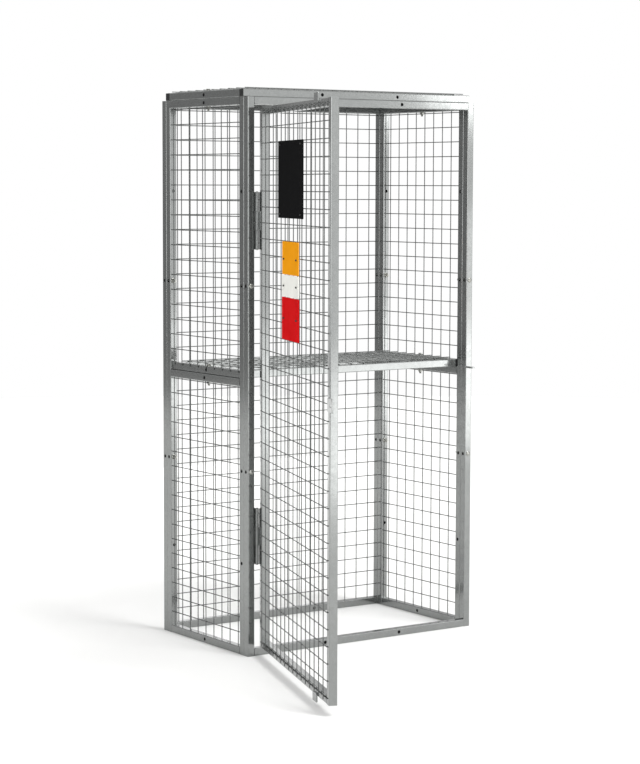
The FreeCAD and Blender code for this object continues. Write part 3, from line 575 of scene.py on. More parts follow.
# Rolled tube and flat plate: pale satin grey.
TUBE_ZINC = Galvanised("galvanised_steel_tube", "galvanised_steel", "steel")
PLATE_ZINC = replace(
    TUBE_ZINC, name="galvanised_steel_plate", light="#919392", dark="#8a8c8b", spangle_mm=6.0,
)
# Pressed hinge leaves: a darker, duller grey.
HINGE_ZINC = replace(
    TUBE_ZINC, name="galvanised_hinge_steel", light="#7f8180", dark="#777978", cloud="#6f7170",
    spangle_mm=6.0, smooth=0.26, dull=0.34,
)
# Drawn wire: the same zinc as the tubes, painted darker as shade so that it reads dark against the light.
# Where it lies flat as a deck it is painted paler, as painted light on its top.
SHADED_WIRE_ZINC = Galvanised(
    "galvanised_steel_wire", "galvanised_wire", "wire", light="#626463", dark="#5c5e5d", cloud="#565857",
    spangle_mm=5.0, smooth=0.24, dull=0.34,
)
# A copy of the wire zinc painted paler: painted light on flat deck wires that face up.
LIT_DECK_ZINC = replace(
    SHADED_WIRE_ZINC, name="galvanised_steel_deck_wire", light="#8e908f", dark="#868887", cloud="#7e807f",
)
# Plated bolts and pins: brighter and slightly yellow, with small stains.
BRIGHT_ZINC = Galvanised(
    "zinc_plated_fastener", "zinc_plated_steel", "zinc", light="#a9aaa6", dark="#9c9d98", cloud="#8f8d84",
    spangle_mm=4.0, cloud_mm=20.0, smooth=0.2, dull=0.32, metallic=0.95,
)
PIN_ZINC = replace(BRIGHT_ZINC, stuff="steel")
# Moulded black plugs and ties: nearly black with a soft shine.
BLACK_POLYTHENE = Moulded("black_polythene_cap", "black_plastic_cap", "plastic")
BLACK_NYLON = Moulded(
    "black_nylon_tie", "black_nylon_tie", "nylon", colour="#101112", scuff="#242628", smooth=0.38,
)
# Foamed sign board: flat and even, with hardly any shine. Each board gives it its own colour.
FOAM_BOARD = Moulded("foam_board", stuff="board", scuff_mm=60.0, smooth=0.7, dull=0.82, sheen=0.02)


def rounded_loop(half_x: float, half_y: float, radius: float, steps: int = 4) -> np.ndarray:
    """Outline of a rectangle with quarter-circle corners, anticlockwise about its middle.

    Args:
        half_x: Half of its width.
        half_y: Half of its height.
        radius: Corner radius.
        steps: Steps round one corner.

    Returns:
        Rows of x and y.
    """
    turn = np.linspace(0, math.pi / 2, steps + 1)
    quarter = np.arange(4)[:, None] * math.pi / 2
    middle = quarter + math.pi / 4
    x = np.sign(np.cos(middle)) * (half_x - radius) + radius * np.cos(quarter + turn)
    y = np.sign(np.sin(middle)) * (half_y - radius) + radius * np.sin(quarter + turn)
    return np.column_stack([x.ravel(), y.ravel()])


def loft(loops: list[np.ndarray], heights: list[float], ring: bool = False) -> Skin:
    """Carry an outline through a stack of heights.

    Args:
        loops: Outlines with the same number of points.
        heights: Height of each outline.
        ring: Whether the last outline joins the first, as round a hole.

    Returns:
        The surface, closed at both ends by a middle point unless it is a ring.
    """
    if not ring:
        foot, crown = (loop * 0 + loop.mean(axis=0) for loop in (loops[0], loops[-1]))
        loops = [foot, *loops, crown]
        heights = [heights[0], *heights, heights[-1]]
    count = len(loops[0])
    points = np.column_stack([np.concatenate(loops), np.repeat(heights, count)])
    return Skin(points, grid_quads(len(loops), count, wrap_rows=ring, wrap_columns=True))


SHARPEST = 0.05


def slab(low: Point, high: Point, corner: float, bevel: float, thin: Along) -> Skin:
    """A plate with rounded corners and softened edges between two opposite corners of its box.

    Its outline is carried through the thin direction, drawn in by the bevel at both faces.

    Args:
        low: Lowest corner.
        high: Highest corner.
        corner: Radius of the corners seen through the thin direction.
        bevel: Width of the softened edge.
        thin: The direction of its thickness.

    Returns:
        The plate's surface.
    """
    basis = thin.basis()
    ends = np.array([low, high], float)
    thick, wide, tall = np.abs(basis @ (ends[1] - ends[0])) / 2
    full = rounded_loop(wide, tall, corner)
    drawn = rounded_loop(wide - bevel, tall - bevel, max(corner - bevel, SHARPEST))
    skin = loft([drawn, full, full, drawn], [-thick, bevel - thick, thick - bevel, thick])
    return skin.moved(basis[[1, 2, 0]], tuple(ends.mean(axis=0)))


def facing(direction: Point) -> np.ndarray:
    """A right-handed turn whose own Z goes along a direction.

    Args:
        direction: One of the frame's axes, either way.

    Returns:
        Rows are the directions of its own X, Y and Z.
    """
    axis = np.array(direction, float)
    side = (0.0, 1.0, 0.0) if axis[2] else (0.0, 0.0, 1.0)
    first = np.cross(side, axis)
    return np.array([first, np.cross(axis, first), axis])


@dataclass(frozen=True)
class RoundOutline:
    """A circle about a point."""

    radius: float

    def around(self, angle: np.ndarray, grow: float) -> np.ndarray:
        """The points ((r + grow) cos t, (r + grow) sin t), one for each angle."""
        return (self.radius + grow) * np.column_stack([np.cos(angle), np.sin(angle)])


@dataclass(frozen=True)
class BoxOutline:
    """A rectangle with cut corners, by the distances of its sides from a point inside it."""

    left: float
    right: float
    low: float
    high: float
    corner: float

    def around(self, angle: np.ndarray, grow: float) -> np.ndarray:
        """The outline as seen from the point inside.

        The ray (cos t, sin t) stops at the nearest side, or at the line |x| + |y| = constant
        that cuts the corner, where it meets that first.

        Args:
            angle: Directions of the rays.
            grow: How far the sides move out.

        Returns:
            Rows of x and y, one for each angle.
        """
        cosine, sine = np.cos(angle), np.sin(angle)
        reach_x = np.where(cosine >= 0, self.right, self.left) + grow
        reach_y = np.where(sine >= 0, self.high, self.low) + grow
        to_x = reach_x / np.maximum(np.abs(cosine), TINY)
        to_y = reach_y / np.maximum(np.abs(sine), TINY)
        to_corner = (reach_x + reach_y - self.corner) / (np.abs(cosine) + np.abs(sine))
        length = np.minimum(np.minimum(to_x, to_y), to_corner)
        return np.column_stack([length * cosine, length * sine])


def drilled_plate(
    outer: BoxOutline, inner: BoxOutline | RoundOutline, thickness: float, bevel: float, steps: int,
) -> Skin:
    """A plate with one opening: an outline outside, another inside, and both joined at the faces.

    Args:
        outer: The outside outline.
        inner: The opening's outline.
        thickness: Thickness along its own Z.
        bevel: Width of the softened edges.
        steps: Steps round the opening.

    Returns:
        The plate's surface with its lower face at height zero.
    """
    angle = round_angles(steps)
    outside = [outer.around(angle, grow) for grow in (-bevel, 0.0, 0.0, -bevel)]
    inside = [inner.around(angle, grow) for grow in (bevel, 0.0, 0.0, bevel)]
    heights = [0.0, bevel, thickness - bevel, thickness]
    return loft(outside + inside, heights + heights[::-1], ring=True)


@dataclass(frozen=True)
class Hole:
    """Round holes at one distance along a tube."""

    place: float
    radius: float
    walls: tuple[Wall, ...]
    offset: float = 0.0


@dataclass
class Tube:
    """A length of square tube with rounded corners, open ends and round holes."""

    along: Along
    start: Point
    length: float
    holes: tuple[Hole, ...] = ()
    cell: float = 9.0
    hole_steps: int = 24
    corner_steps: int = 6

    def stations(self) -> np.ndarray:
        """Distances along the tube where its faces are divided: its ends and each hole's cell."""
        cells = [hole.place + way * self.cell for hole in self.holes for way in (-1, 1)]
        return np.unique(np.round([0.0, self.length, *cells], 6))

    def rim(self, wall: Wall, hole: Hole) -> np.ndarray:
        """A hole's rim on a wall: (place + r cos t, offset + r sin t).

        Args:
            wall: Which wall.
            hole: The hole.

        Returns:
            Rows of distance along the tube and across the wall.
        """
        angle = round_angles(self.hole_steps)
        along = hole.place + hole.radius * np.cos(angle)
        return np.column_stack([along, wall.across(hole.offset) + hole.radius * np.sin(angle)])

    def fan(self) -> np.ndarray:
        """Faces between a hole's cell and its rim, each quarter of the rim fanned from its corner.

        Returns:
            Point numbers, of which the first four are the cell's corners.
        """
        step = np.arange(self.hole_steps)
        quarter = step * 4 // self.hole_steps
        fans = np.stack([quarter, quarter, (step + 1) % self.hole_steps + 4, step + 4], axis=1)
        turn = np.arange(4)
        following = (turn + 1) % 4
        turn_rim = following * self.hole_steps // 4 + 4
        return np.concatenate([fans, np.stack([turn, following, turn_rim, turn_rim], axis=1)])

    def flat(self, wall: Wall, reach: float, half: float, outward: bool) -> Skin:
        """One flat wall: a row of rectangles, with a fan of faces round each hole.

        Args:
            wall: Which wall.
            reach: Distance of the wall from the tube's middle.
            half: Half of the flat's width.
            outward: Whether the face looks out of the tube.

        Returns:
            The wall's surface in the tube's own length and cross directions.
        """
        marks = self.stations()
        skins = []
        for low, high in zip(marks[:-1], marks[1:]):
            points = np.array([(high, half), (low, half), (low, -half), (high, -half)])
            quads = np.array([(0, 1, 2, 3)])
            found = (hole for hole in self.holes if wall in hole.walls and low < hole.place < high)
            hole = next(found, None)
            if hole is not None:
                points = np.concatenate([points, self.rim(wall, hole)])
                quads = self.fan()
            placed = np.column_stack([points, np.full(len(points), reach)]) @ wall.directions()
            skins.append(Skin(placed, quads[:, ::-1] if outward else quads))
        return Skin.join(skins)

    def corner_arcs(self) -> Skin:
        """The four rounded edges: a quarter circle carried along the tube.

        Returns:
            Their surface in the tube's own directions.
        """
        marks = self.stations()
        outline = rounded_loop(HALF_TUBE, HALF_TUBE, SIZES.corner, self.corner_steps)
        skins = []
        for arc in np.split(outline, len(Wall)):
            points = np.column_stack([np.repeat(marks, len(arc)), np.tile(arc, (len(marks), 1))])
            skins.append(Skin(points, grid_quads(len(marks), len(arc))))
        return Skin.join(skins)

    def end_rims(self) -> Skin:
        """The cut ends of the wall: rounded outside, square inside.

        Returns:
            Their surface in the tube's own directions.
        """
        outside = rounded_loop(HALF_TUBE, HALF_TUBE, SIZES.corner, self.corner_steps)
        ring = np.concatenate([outside, rounded_loop(HALF_BORE, HALF_BORE, 0.0, self.corner_steps)])
        quads = grid_quads(2, len(outside), wrap_columns=True)
        near = Skin(np.column_stack([np.zeros(len(ring)), ring]), quads[:, ::-1])
        far = Skin(np.column_stack([np.full(len(ring), self.length), ring]), quads)
        return Skin.join([near, far])

    def hole_rims(self) -> list[Skin]:
        """The thickness of the wall inside each hole: its rim carried through the wall.

        Returns:
            Their surfaces in the tube's own directions.
        """
        quads = grid_quads(2, self.hole_steps, wrap_columns=True)[:, ::-1]
        depth = np.repeat([HALF_TUBE, HALF_BORE], self.hole_steps)
        skins = []
        for hole in self.holes:
            for wall in hole.walls:
                rims = np.column_stack([np.tile(self.rim(wall, hole), (2, 1)), depth])
                skins.append(Skin(rims @ wall.directions(), quads))
        return skins

    def skin(self) -> Skin:
        """The whole tube: its edges, ends, holes, and each wall's outer and inner face.

        Returns:
            Its surface in millimetres of the cage.
        """
        skins = [self.corner_arcs(), self.end_rims(), *self.hole_rims()]
        for wall in Wall:
            skins.append(self.flat(wall, HALF_TUBE, HALF_TUBE - SIZES.corner, True))
            skins.append(self.flat(wall, HALF_BORE, HALF_BORE, False))
        return Skin.join(skins).moved(self.along.basis(), self.start)


def steel_tube(node: str, tube: Tube, carrier: Carrier = Carrier.CAGE) -> None:
    """Make one tube of a frame."""
    make_piece(node, [tube.skin()], TUBE_ZINC, carrier)


def holes_at(places: tuple[float, ...], radius: float, walls: tuple[Wall, ...]) -> tuple[Hole, ...]:
    """The same hole at several distances along a tube."""
    return tuple(Hole(place, radius, walls) for place in places)


def pair_of_holes(length: float) -> tuple[Hole, ...]:
    """Two holes at the same distance from the middle of a long tube."""
    places = tuple(length / 2 + way * SIZES.hole_spacing / 2 for way in (-1, 1))
    return holes_at(places, SIZES.hole, FIRST_WALLS)


JOINTS = (SIZES.joint_height, SIZES.post - SIZES.joint_height)
VENTS = (SIZES.vent_height, SIZES.post - SIZES.vent_height)
JOINT_HOLES = holes_at(JOINTS, SIZES.hole, FIRST_WALLS) + holes_at(JOINTS, SIZES.bolt_hole, SECOND_WALLS)

WIRE_SIDES = 12
WIRE_CHAMFER = 0.35
WIRE_FACE = 0.8
LEVELS_PER_BAY = 17


def wires(along: Along, starts: np.ndarray, length: float) -> Skin:
    """Straight round wires: a circle carried along each wire, with a small chamfer at both ends.

    Args:
        along: The direction of the wires.
        starts: One row for each wire, the middle of its first end.
        length: Length of every wire.

    Returns:
        All the wires as one surface.
    """
    radius = SIZES.wire / 2
    face = radius * WIRE_FACE
    wire = lathe([
        (0.0, 0.0), (face, 0.0), (radius, WIRE_CHAMFER), (radius, length - WIRE_CHAMFER),
        (face, length), (0.0, length),
    ], WIRE_SIDES)
    local = wire.points[:, [2, 0, 1]] @ along.basis()
    points = (starts[:, None, :] + local[None]).reshape(-1, 3)
    quads = (wire.quads[None] + (np.arange(len(starts)) * len(local))[:, None, None]).reshape(-1, 4)
    return Skin(points, quads)


def rows(first: float, count: int) -> np.ndarray:
    """Places of wires one pitch apart from a first one."""
    return first + SIZES.pitch * np.arange(count)


def centred(middle: float, count: int) -> np.ndarray:
    """Places of wires one pitch apart, as many to either side of a middle."""
    return rows(middle - SIZES.pitch * (count - 1) / 2, count)


def starts_at(x: np.ndarray | float, y: np.ndarray | float, z: np.ndarray | float) -> np.ndarray:
    """Start points of wires from their x, y and z, of which two are one number for all."""
    return np.stack(np.broadcast_arrays(x, y, z), axis=-1).astype(float)


class Bay(Enum):
    """Lower or upper half of a panel: its base, its height and its first level wire above the base."""

    LOWER = (SIZES.tube, SIZES.mid_rail_top - 2 * SIZES.tube, 45.0)
    UPPER = (SIZES.mid_rail_top, SIZES.post - SIZES.tube - SIZES.mid_rail_top, 69.0)

    def levels(self) -> np.ndarray:
        """Heights of the bay's level wires."""
        return rows(self.value[0] + self.value[2], LEVELS_PER_BAY)


@dataclass
class EndFrame:
    """The front frame or the back panel: two posts with rails between them."""

    name: str
    y: float
    levels: tuple[Level, ...]

    def build(self) -> None:
        """Make the posts and the rails."""
        for side in Side:
            start = (side.inset(HALF_TUBE), self.y, 0.0)
            steel_tube(f"{self.name}_{side.label()}_post", Tube(Along.Z, start, SIZES.post, JOINT_HOLES))
        for level in self.levels:
            holes = () if level is Level.MID else pair_of_holes(RAIL_LENGTH)
            start = (SIZES.tube, self.y, level.value)
            steel_tube(f"{self.name}_{level.label()}_rail", Tube(Along.X, start, RAIL_LENGTH, holes))


@dataclass
class BackMesh:
    """The back panel's mesh: upright wires outside, level wires inside them."""

    uprights: int = 17

    def build(self) -> None:
        """Make both bays' wires as one sheet."""
        upright_y = SIZES.depth - SIZES.setback - SIZES.wire / 2
        level_y = upright_y - SIZES.wire
        x = centred(SIZES.width / 2, self.uprights)
        skins = []
        for bay in Bay:
            base, height, _ = bay.value
            skins.append(wires(Along.Z, starts_at(x, upright_y, base), height))
            skins.append(wires(Along.X, starts_at(SIZES.tube, level_y, bay.levels()), RAIL_LENGTH))
        make_piece("back_mesh", skins, SHADED_WIRE_ZINC)


@dataclass
class SidePanel:
    """A side panel: two uprights, three rails and a sheet of mesh."""

    side: Side
    uprights: int = 9
    length: float = SIZES.depth - 4 * SIZES.tube

    def build(self) -> None:
        """Make the panel's tubes and mesh."""
        name = self.side.label()
        middle = self.side.inset(HALF_TUBE)
        bolt_offset = self.side.inset(SIZES.bolt_line) - middle
        front, rear = UPRIGHT_LINES
        for end, y, vent_walls in (("front", front, FIRST_WALLS), ("rear", rear, (Wall.SECOND_LOW,))):
            holes = JOINT_HOLES + holes_at(VENTS, SIZES.hole, vent_walls)
            steel_tube(f"{name}_{end}_upright", Tube(Along.Z, (middle, y, 0.0), SIZES.post, holes))
        for level in Level:
            holes = (Hole(self.length / 2, SIZES.hole, SECOND_WALLS),)
            if level is not Level.BOTTOM:
                holes += (Hole(self.length / 2, SIZES.bolt_hole, FIRST_WALLS, bolt_offset),)
            start = (middle, 2 * SIZES.tube, level.value)
            steel_tube(f"{name}_{level.label()}_rail", Tube(Along.Y, start, self.length, holes))
        self.build_mesh()

    def build_mesh(self) -> None:
        """Make the wires of both bays. The upper uprights stop on the face of the shelf's tube."""
        upright_x = self.side.inset(SIZES.setback + SIZES.wire / 2)
        level_x = self.side.inset(SIZES.setback + 1.5 * SIZES.wire)
        y = centred(SIZES.depth / 2, self.uprights)
        skins = []
        for bay in Bay:
            base, height, _ = bay.value
            lift = SIZES.tube - SIZES.shelf_mesh_lap if bay is Bay.UPPER else 0.0
            skins.append(wires(Along.Z, starts_at(upright_x, y, base + lift), height - lift))
            skins.append(wires(Along.Y, starts_at(level_x, 2 * SIZES.tube, bay.levels()), self.length))
        make_piece(f"{self.side.label()}_mesh", skins, SHADED_WIRE_ZINC)


@dataclass
class Tray:
    """The roof or the shelf: a frame of four tubes with mesh on top of it.

    The roof's long tubes run through and are drilled; the shelf's short tubes run through.
    """

    name: str
    left: float
    front: float
    base: float
    long_through: bool
    longs: int
    crosses: int = 17
    mesh_end: float = 15.0

    def build(self) -> None:
        """Make the tray's tubes and mesh."""
        width = SIZES.width - 2 * self.left
        depth = SIZES.depth - 2 * self.front
        z = self.base + HALF_TUBE
        long_cut, short_cut = (0.0, SIZES.tube) if self.long_through else (SIZES.tube, 0.0)
        long_holes = pair_of_holes(width) if self.long_through else ()
        for end, y in (("front", self.front + HALF_TUBE), ("rear", self.front + depth - HALF_TUBE)):
            tube = Tube(Along.X, (self.left + long_cut, y, z), width - 2 * long_cut, long_holes)
            steel_tube(f"{self.name}_{end}_tube", tube)
        length = depth - 2 * short_cut
        for side in Side:
            x = side.inset(self.left + HALF_TUBE)
            bolt_offset = side.inset(SIZES.bolt_line) - x
            holes = (
                Hole(length / 2, SIZES.hole, SECOND_WALLS),
                Hole(length / 2, SIZES.bolt_hole, FIRST_WALLS, bolt_offset),
            )
            start = (x, self.front + short_cut, z)
            steel_tube(f"{self.name}_{side.label()}_tube", Tube(Along.Y, start, length, holes))
        self.build_mesh(width, depth)

    def build_mesh(self, width: float, depth: float) -> None:
        """Make the cross wires on the tubes and the long wires on top of them.

        Args:
            width: Width over the tubes.
            depth: Depth over the tubes.
        """
        top = self.base + SIZES.tube
        x = centred(SIZES.width / 2, self.crosses)
        y = centred(SIZES.depth / 2, self.longs)
        cross_end = min(self.mesh_end, y[0] - SIZES.wire - self.front)
        cross = starts_at(x, self.front + cross_end, top + SIZES.wire / 2)
        long = starts_at(self.left + self.mesh_end, y, top + 1.5 * SIZES.wire)
        # The deck wires take the copy of the wire zinc that is painted paler, as painted light on their
        # flat tops.
        make_piece(f"{self.name}_mesh", [
            wires(Along.Y, cross, depth - 2 * cross_end), wires(Along.X, long, width - 2 * self.mesh_end),
        ], LIT_DECK_ZINC)


DOOR_FIRST_LEVEL = 18.0
DOOR_LEVEL_WIRES = 35
DOOR_LEVELS = rows(SIZES.door_base + DOOR_FIRST_LEVEL, DOOR_LEVEL_WIRES)


@dataclass
class DoorLeafFrame:
    """The door: two stiles, two rails, mesh on the outer face and two stop tabs."""

    uprights: int = 16
    upright_end: float = 9.5
    level_end: float = 15.0
    tab_from_lock: float = 142.0
    tab_width: float = 40.0
    tab_thickness: float = 5.0
    tab_length: float = 26.0
    tab_seat: float = 8.0
    tab_corner: float = 2.0
    tab_bevel: float = 0.6

    def build(self) -> None:
        """Make the door's tubes, mesh and tabs."""
        y = SIZES.door_face + HALF_TUBE
        height = SIZES.door_top - SIZES.door_base
        for side, x in (("hinge", DOOR_LEFT + HALF_TUBE), ("lock", DOOR_RIGHT - HALF_TUBE)):
            stile = Tube(Along.Z, (x, y, SIZES.door_base), height)
            steel_tube(f"door_{side}_stile", stile, Carrier.DOOR)
        length = DOOR_RIGHT - DOOR_LEFT - 2 * SIZES.tube
        for level, z in (("top", SIZES.door_top - HALF_TUBE), ("bottom", SIZES.door_base + HALF_TUBE)):
            rail = Tube(Along.X, (DOOR_LEFT + SIZES.tube, y, z), length)
            steel_tube(f"door_{level}_rail", rail, Carrier.DOOR)
        level_y = SIZES.door_face - SIZES.wire / 2
        x = centred(SIZES.width / 2, self.uprights)
        upright = starts_at(x, level_y - SIZES.wire, SIZES.door_base + self.upright_end)
        level = starts_at(DOOR_LEFT + self.level_end, level_y, DOOR_LEVELS)
        make_piece("door_mesh", [
            wires(Along.Z, upright, height - 2 * self.upright_end),
            wires(Along.X, level, length + 2 * (SIZES.tube - self.level_end)),
        ], SHADED_WIRE_ZINC, Carrier.DOOR)
        self.build_tabs()

    def build_tabs(self) -> None:
        """Make the tabs that rest on the front frame's rails when the door is shut."""
        left = DOOR_RIGHT - self.tab_from_lock - self.tab_width / 2
        skins = []
        for base in (SIZES.door_base + self.tab_seat - self.tab_length, SIZES.door_top - self.tab_seat):
            low = (left, SIZES.door_face - self.tab_thickness, base)
            high = (left + self.tab_width, SIZES.door_face, base + self.tab_length)
            skins.append(slab(low, high, self.tab_corner, self.tab_bevel, Along.Y))
        make_piece("door_stop_tabs", skins, PLATE_ZINC, Carrier.DOOR)


class HingePlace(Named):
    """Which hinge, with the height of its middle above the middle of the posts."""

    LOWER = -500.0
    UPPER = 500.0


@dataclass
class Hinge:
    """A butt hinge: two leaves with rolled knuckles on one headed pin.

    The dome gives the shares of a pin head's radius and height from its top to its rim.
    """

    place: HingePlace
    length: float = 180.0
    leaf: float = 3.0
    leaf_corner: float = 1.5
    leaf_bevel: float = 0.4
    reach: float = 30.0
    barrel: float = 5.5
    barrel_bevel: float = 0.5
    bore: float = 3.05
    pin: float = 3.0
    head: float = 4.5
    head_height: float = 2.0
    dome: tuple[tuple[float, float], ...] = ((0.0, 1.0), (0.55, 0.94), (0.88, 0.6), (1.0, 0.0))
    relief: float = 6.0
    strap_start: float = 0.6
    strap_lap: float = 1.0
    strap_corner: float = 0.3
    strap_bevel: float = 0.2
    gap: float = 0.3
    sides: int = 32

    def knuckle(self, low: float, high: float) -> Skin:
        """A rolled knuckle: a ring of the barrel's wall, carried up.

        Args:
            low: Height of its foot.
            high: Height of its top.

        Returns:
            The knuckle's surface about the pin's axis.
        """
        face = self.barrel - self.barrel_bevel
        return lathe([
            (self.bore, low), (face, low), (self.barrel, low + self.barrel_bevel),
            (self.barrel, high - self.barrel_bevel), (face, high), (self.bore, high),
        ], self.sides, ring=True)

    def leaf_skins(self, left: float, thirds: tuple[int, ...]) -> list[Skin]:
        """A leaf's plate, its straps to the knuckles and the knuckles, about the pin's axis.

        Args:
            left: Distance of the plate beside the axis.
            thirds: Which thirds of the hinge this leaf's knuckles fill.

        Returns:
            The leaf's surfaces.
        """
        right = left + self.leaf
        near, far = (left, self.relief, 0.0), (right, self.reach, self.length)
        skins = [slab(near, far, self.leaf_corner, self.leaf_bevel, Along.X)]
        third = self.length / 3
        gap = self.gap if len(thirds) == 1 else 0.0
        for index in thirds:
            low, high = index * third + gap, (index + 1) * third - gap
            near, far = (left, self.strap_start, low), (right, self.relief + self.strap_lap, high)
            skins.append(slab(near, far, self.strap_corner, self.strap_bevel, Along.X))
            skins.append(self.knuckle(low, high))
        return skins

    def build(self) -> None:
        """Make both leaves and the pin."""
        base = SIZES.post / 2 + self.place.value - self.length / 2
        axis = (SIZES.hinge_x, SIZES.hinge_y, base)
        post_leaf = self.leaf_skins(SIZES.tube - SIZES.hinge_x, (0, 2))
        door_leaf = self.leaf_skins(DOOR_LEFT - self.leaf - SIZES.hinge_x, (1,))
        dome = np.array(self.dome) * (self.head, self.head_height)
        shank = [(self.pin, 0.0), (self.pin, self.length)]
        pin = lathe([*(dome * (1, -1)), *shank, *(dome[::-1] + (0.0, self.length))], self.sides)
        for part, skins, finish, carrier in (
            ("post_leaf", post_leaf, HINGE_ZINC, Carrier.CAGE),
            ("door_leaf", door_leaf, HINGE_ZINC, Carrier.DOOR),
            ("pin", [pin], PIN_ZINC, Carrier.CAGE),
        ):
            placed = [skin.moved(UNTURNED, axis) for skin in skins]
            make_piece(f"{self.place.label()}_hinge_{part}", placed, finish, carrier)


@dataclass
class Lock:
    """The padlock lug on the right post and the slotted hasp plate on the door's lock edge."""

    middle: float = SIZES.post / 2
    lug_width: float = 14.0
    lug_reach: float = 26.0
    lug_thickness: float = 5.0
    lug_hole: float = 4.5
    lug_corner: float = 3.0
    lug_steps: int = 96
    hole_edge: float = 10.0
    hasp_lap: float = 14.0
    hasp_reach: float = 36.0
    hasp_height: float = 40.0
    hasp_thickness: float = 4.0
    hasp_corner: float = 2.0
    hasp_steps: int = 160
    slot_near: float = 11.0
    slot_far: float = 30.0
    slot_height: float = 8.0
    slot_corner: float = 0.6
    bevel: float = 0.5

    def build(self) -> None:
        """Make the lug and the hasp plate."""
        half = self.lug_width / 2
        lug = drilled_plate(
            BoxOutline(half, half, self.hole_edge, self.lug_reach - self.hole_edge, self.lug_corner),
            RoundOutline(self.lug_hole), self.lug_thickness, self.bevel, self.lug_steps,
        )
        base = self.middle - self.lug_thickness / 2
        place = (SIZES.width - HALF_TUBE, self.hole_edge - self.lug_reach, base)
        make_piece("lock_lug", [lug.moved(UNTURNED, place)], PLATE_ZINC)
        slot = (self.slot_near + self.slot_far) / 2
        slot_half = (self.slot_far - self.slot_near) / 2
        tall, low = self.hasp_height / 2, self.slot_height / 2
        hasp = drilled_plate(
            BoxOutline(self.hasp_lap + slot, self.hasp_reach - slot, tall, tall, self.hasp_corner),
            BoxOutline(slot_half, slot_half, low, low, self.slot_corner),
            self.hasp_thickness, self.bevel, self.hasp_steps,
        )
        place = (DOOR_RIGHT + slot, SIZES.door_face, self.middle)
        make_piece("hasp_plate", [hasp.moved(facing((0, -1, 0)), place)], PLATE_ZINC, Carrier.DOOR)


@dataclass
class EndCaps:
    """Square plastic plugs in the open ends of the tubes.

    The outlines go from a plug's foot to its crown: how far each is drawn in, its corner radius
    and its depth below the tube's end.
    """

    half: float = 10.95
    outlines: tuple[tuple[float, float, float], ...] = (
        (0.0, 1.2, 12.0), (0.0, 1.2, 0.9), (0.8, 1.6, 0.315), (3.0, 2.4, 0.02),
    )

    def plug(self, out: Point, end: Point) -> Skin:
        """One plug whose face is flush in the middle and falls away towards the tube's wall.

        Args:
            out: The way that its face looks.
            end: Middle of the tube's end.

        Returns:
            The plug's surface.
        """
        drawn, radii, depths = np.array(self.outlines).T
        loops = [rounded_loop(half, half, radius) for half, radius in zip(self.half - drawn, radii)]
        return loft(loops, [*(-depths)]).moved(facing(out), end)

    def tray(self, tray: Tray) -> None:
        """Make the four caps of the roof's long tubes or the shelf's short ones.

        Args:
            tray: The roof or the shelf.
        """
        skins = []
        z = tray.base + HALF_TUBE
        for y, out in ((tray.front, -1), (SIZES.depth - tray.front, 1)):
            for side in Side:
                if tray.long_through:
                    end = (side.inset(tray.left), y - out * HALF_TUBE, z)
                    skins.append(self.plug((-side.value[1], 0, 0), end))
                else:
                    skins.append(self.plug((0, out, 0), (side.inset(tray.left + HALF_TUBE), y, z)))
        make_piece(f"{tray.name}_end_caps", skins, BLACK_POLYTHENE)

    def posts(self) -> None:
        """Make the caps in the posts' feet and tops and in the uprights' feet."""
        skins = []
        for side in Side:
            x = side.inset(HALF_TUBE)
            for y in POST_LINES:
                skins.append(self.plug((0, 0, 1), (x, y, SIZES.post)))
                skins.append(self.plug((0, 0, -1), (x, y, 0)))
            for y in UPRIGHT_LINES:
                skins.append(self.plug((0, 0, -1), (x, y, 0)))
        make_piece("post_end_caps", skins, BLACK_POLYTHENE)

    def door(self) -> None:
        """Make the caps in both ends of the door's stiles."""
        y = SIZES.door_face + HALF_TUBE
        skins = []
        for x in (DOOR_LEFT + HALF_TUBE, DOOR_RIGHT - HALF_TUBE):
            skins.append(self.plug((0, 0, 1), (x, y, SIZES.door_top)))
            skins.append(self.plug((0, 0, -1), (x, y, SIZES.door_base)))
        make_piece("door_end_caps", skins, BLACK_POLYTHENE, Carrier.DOOR)


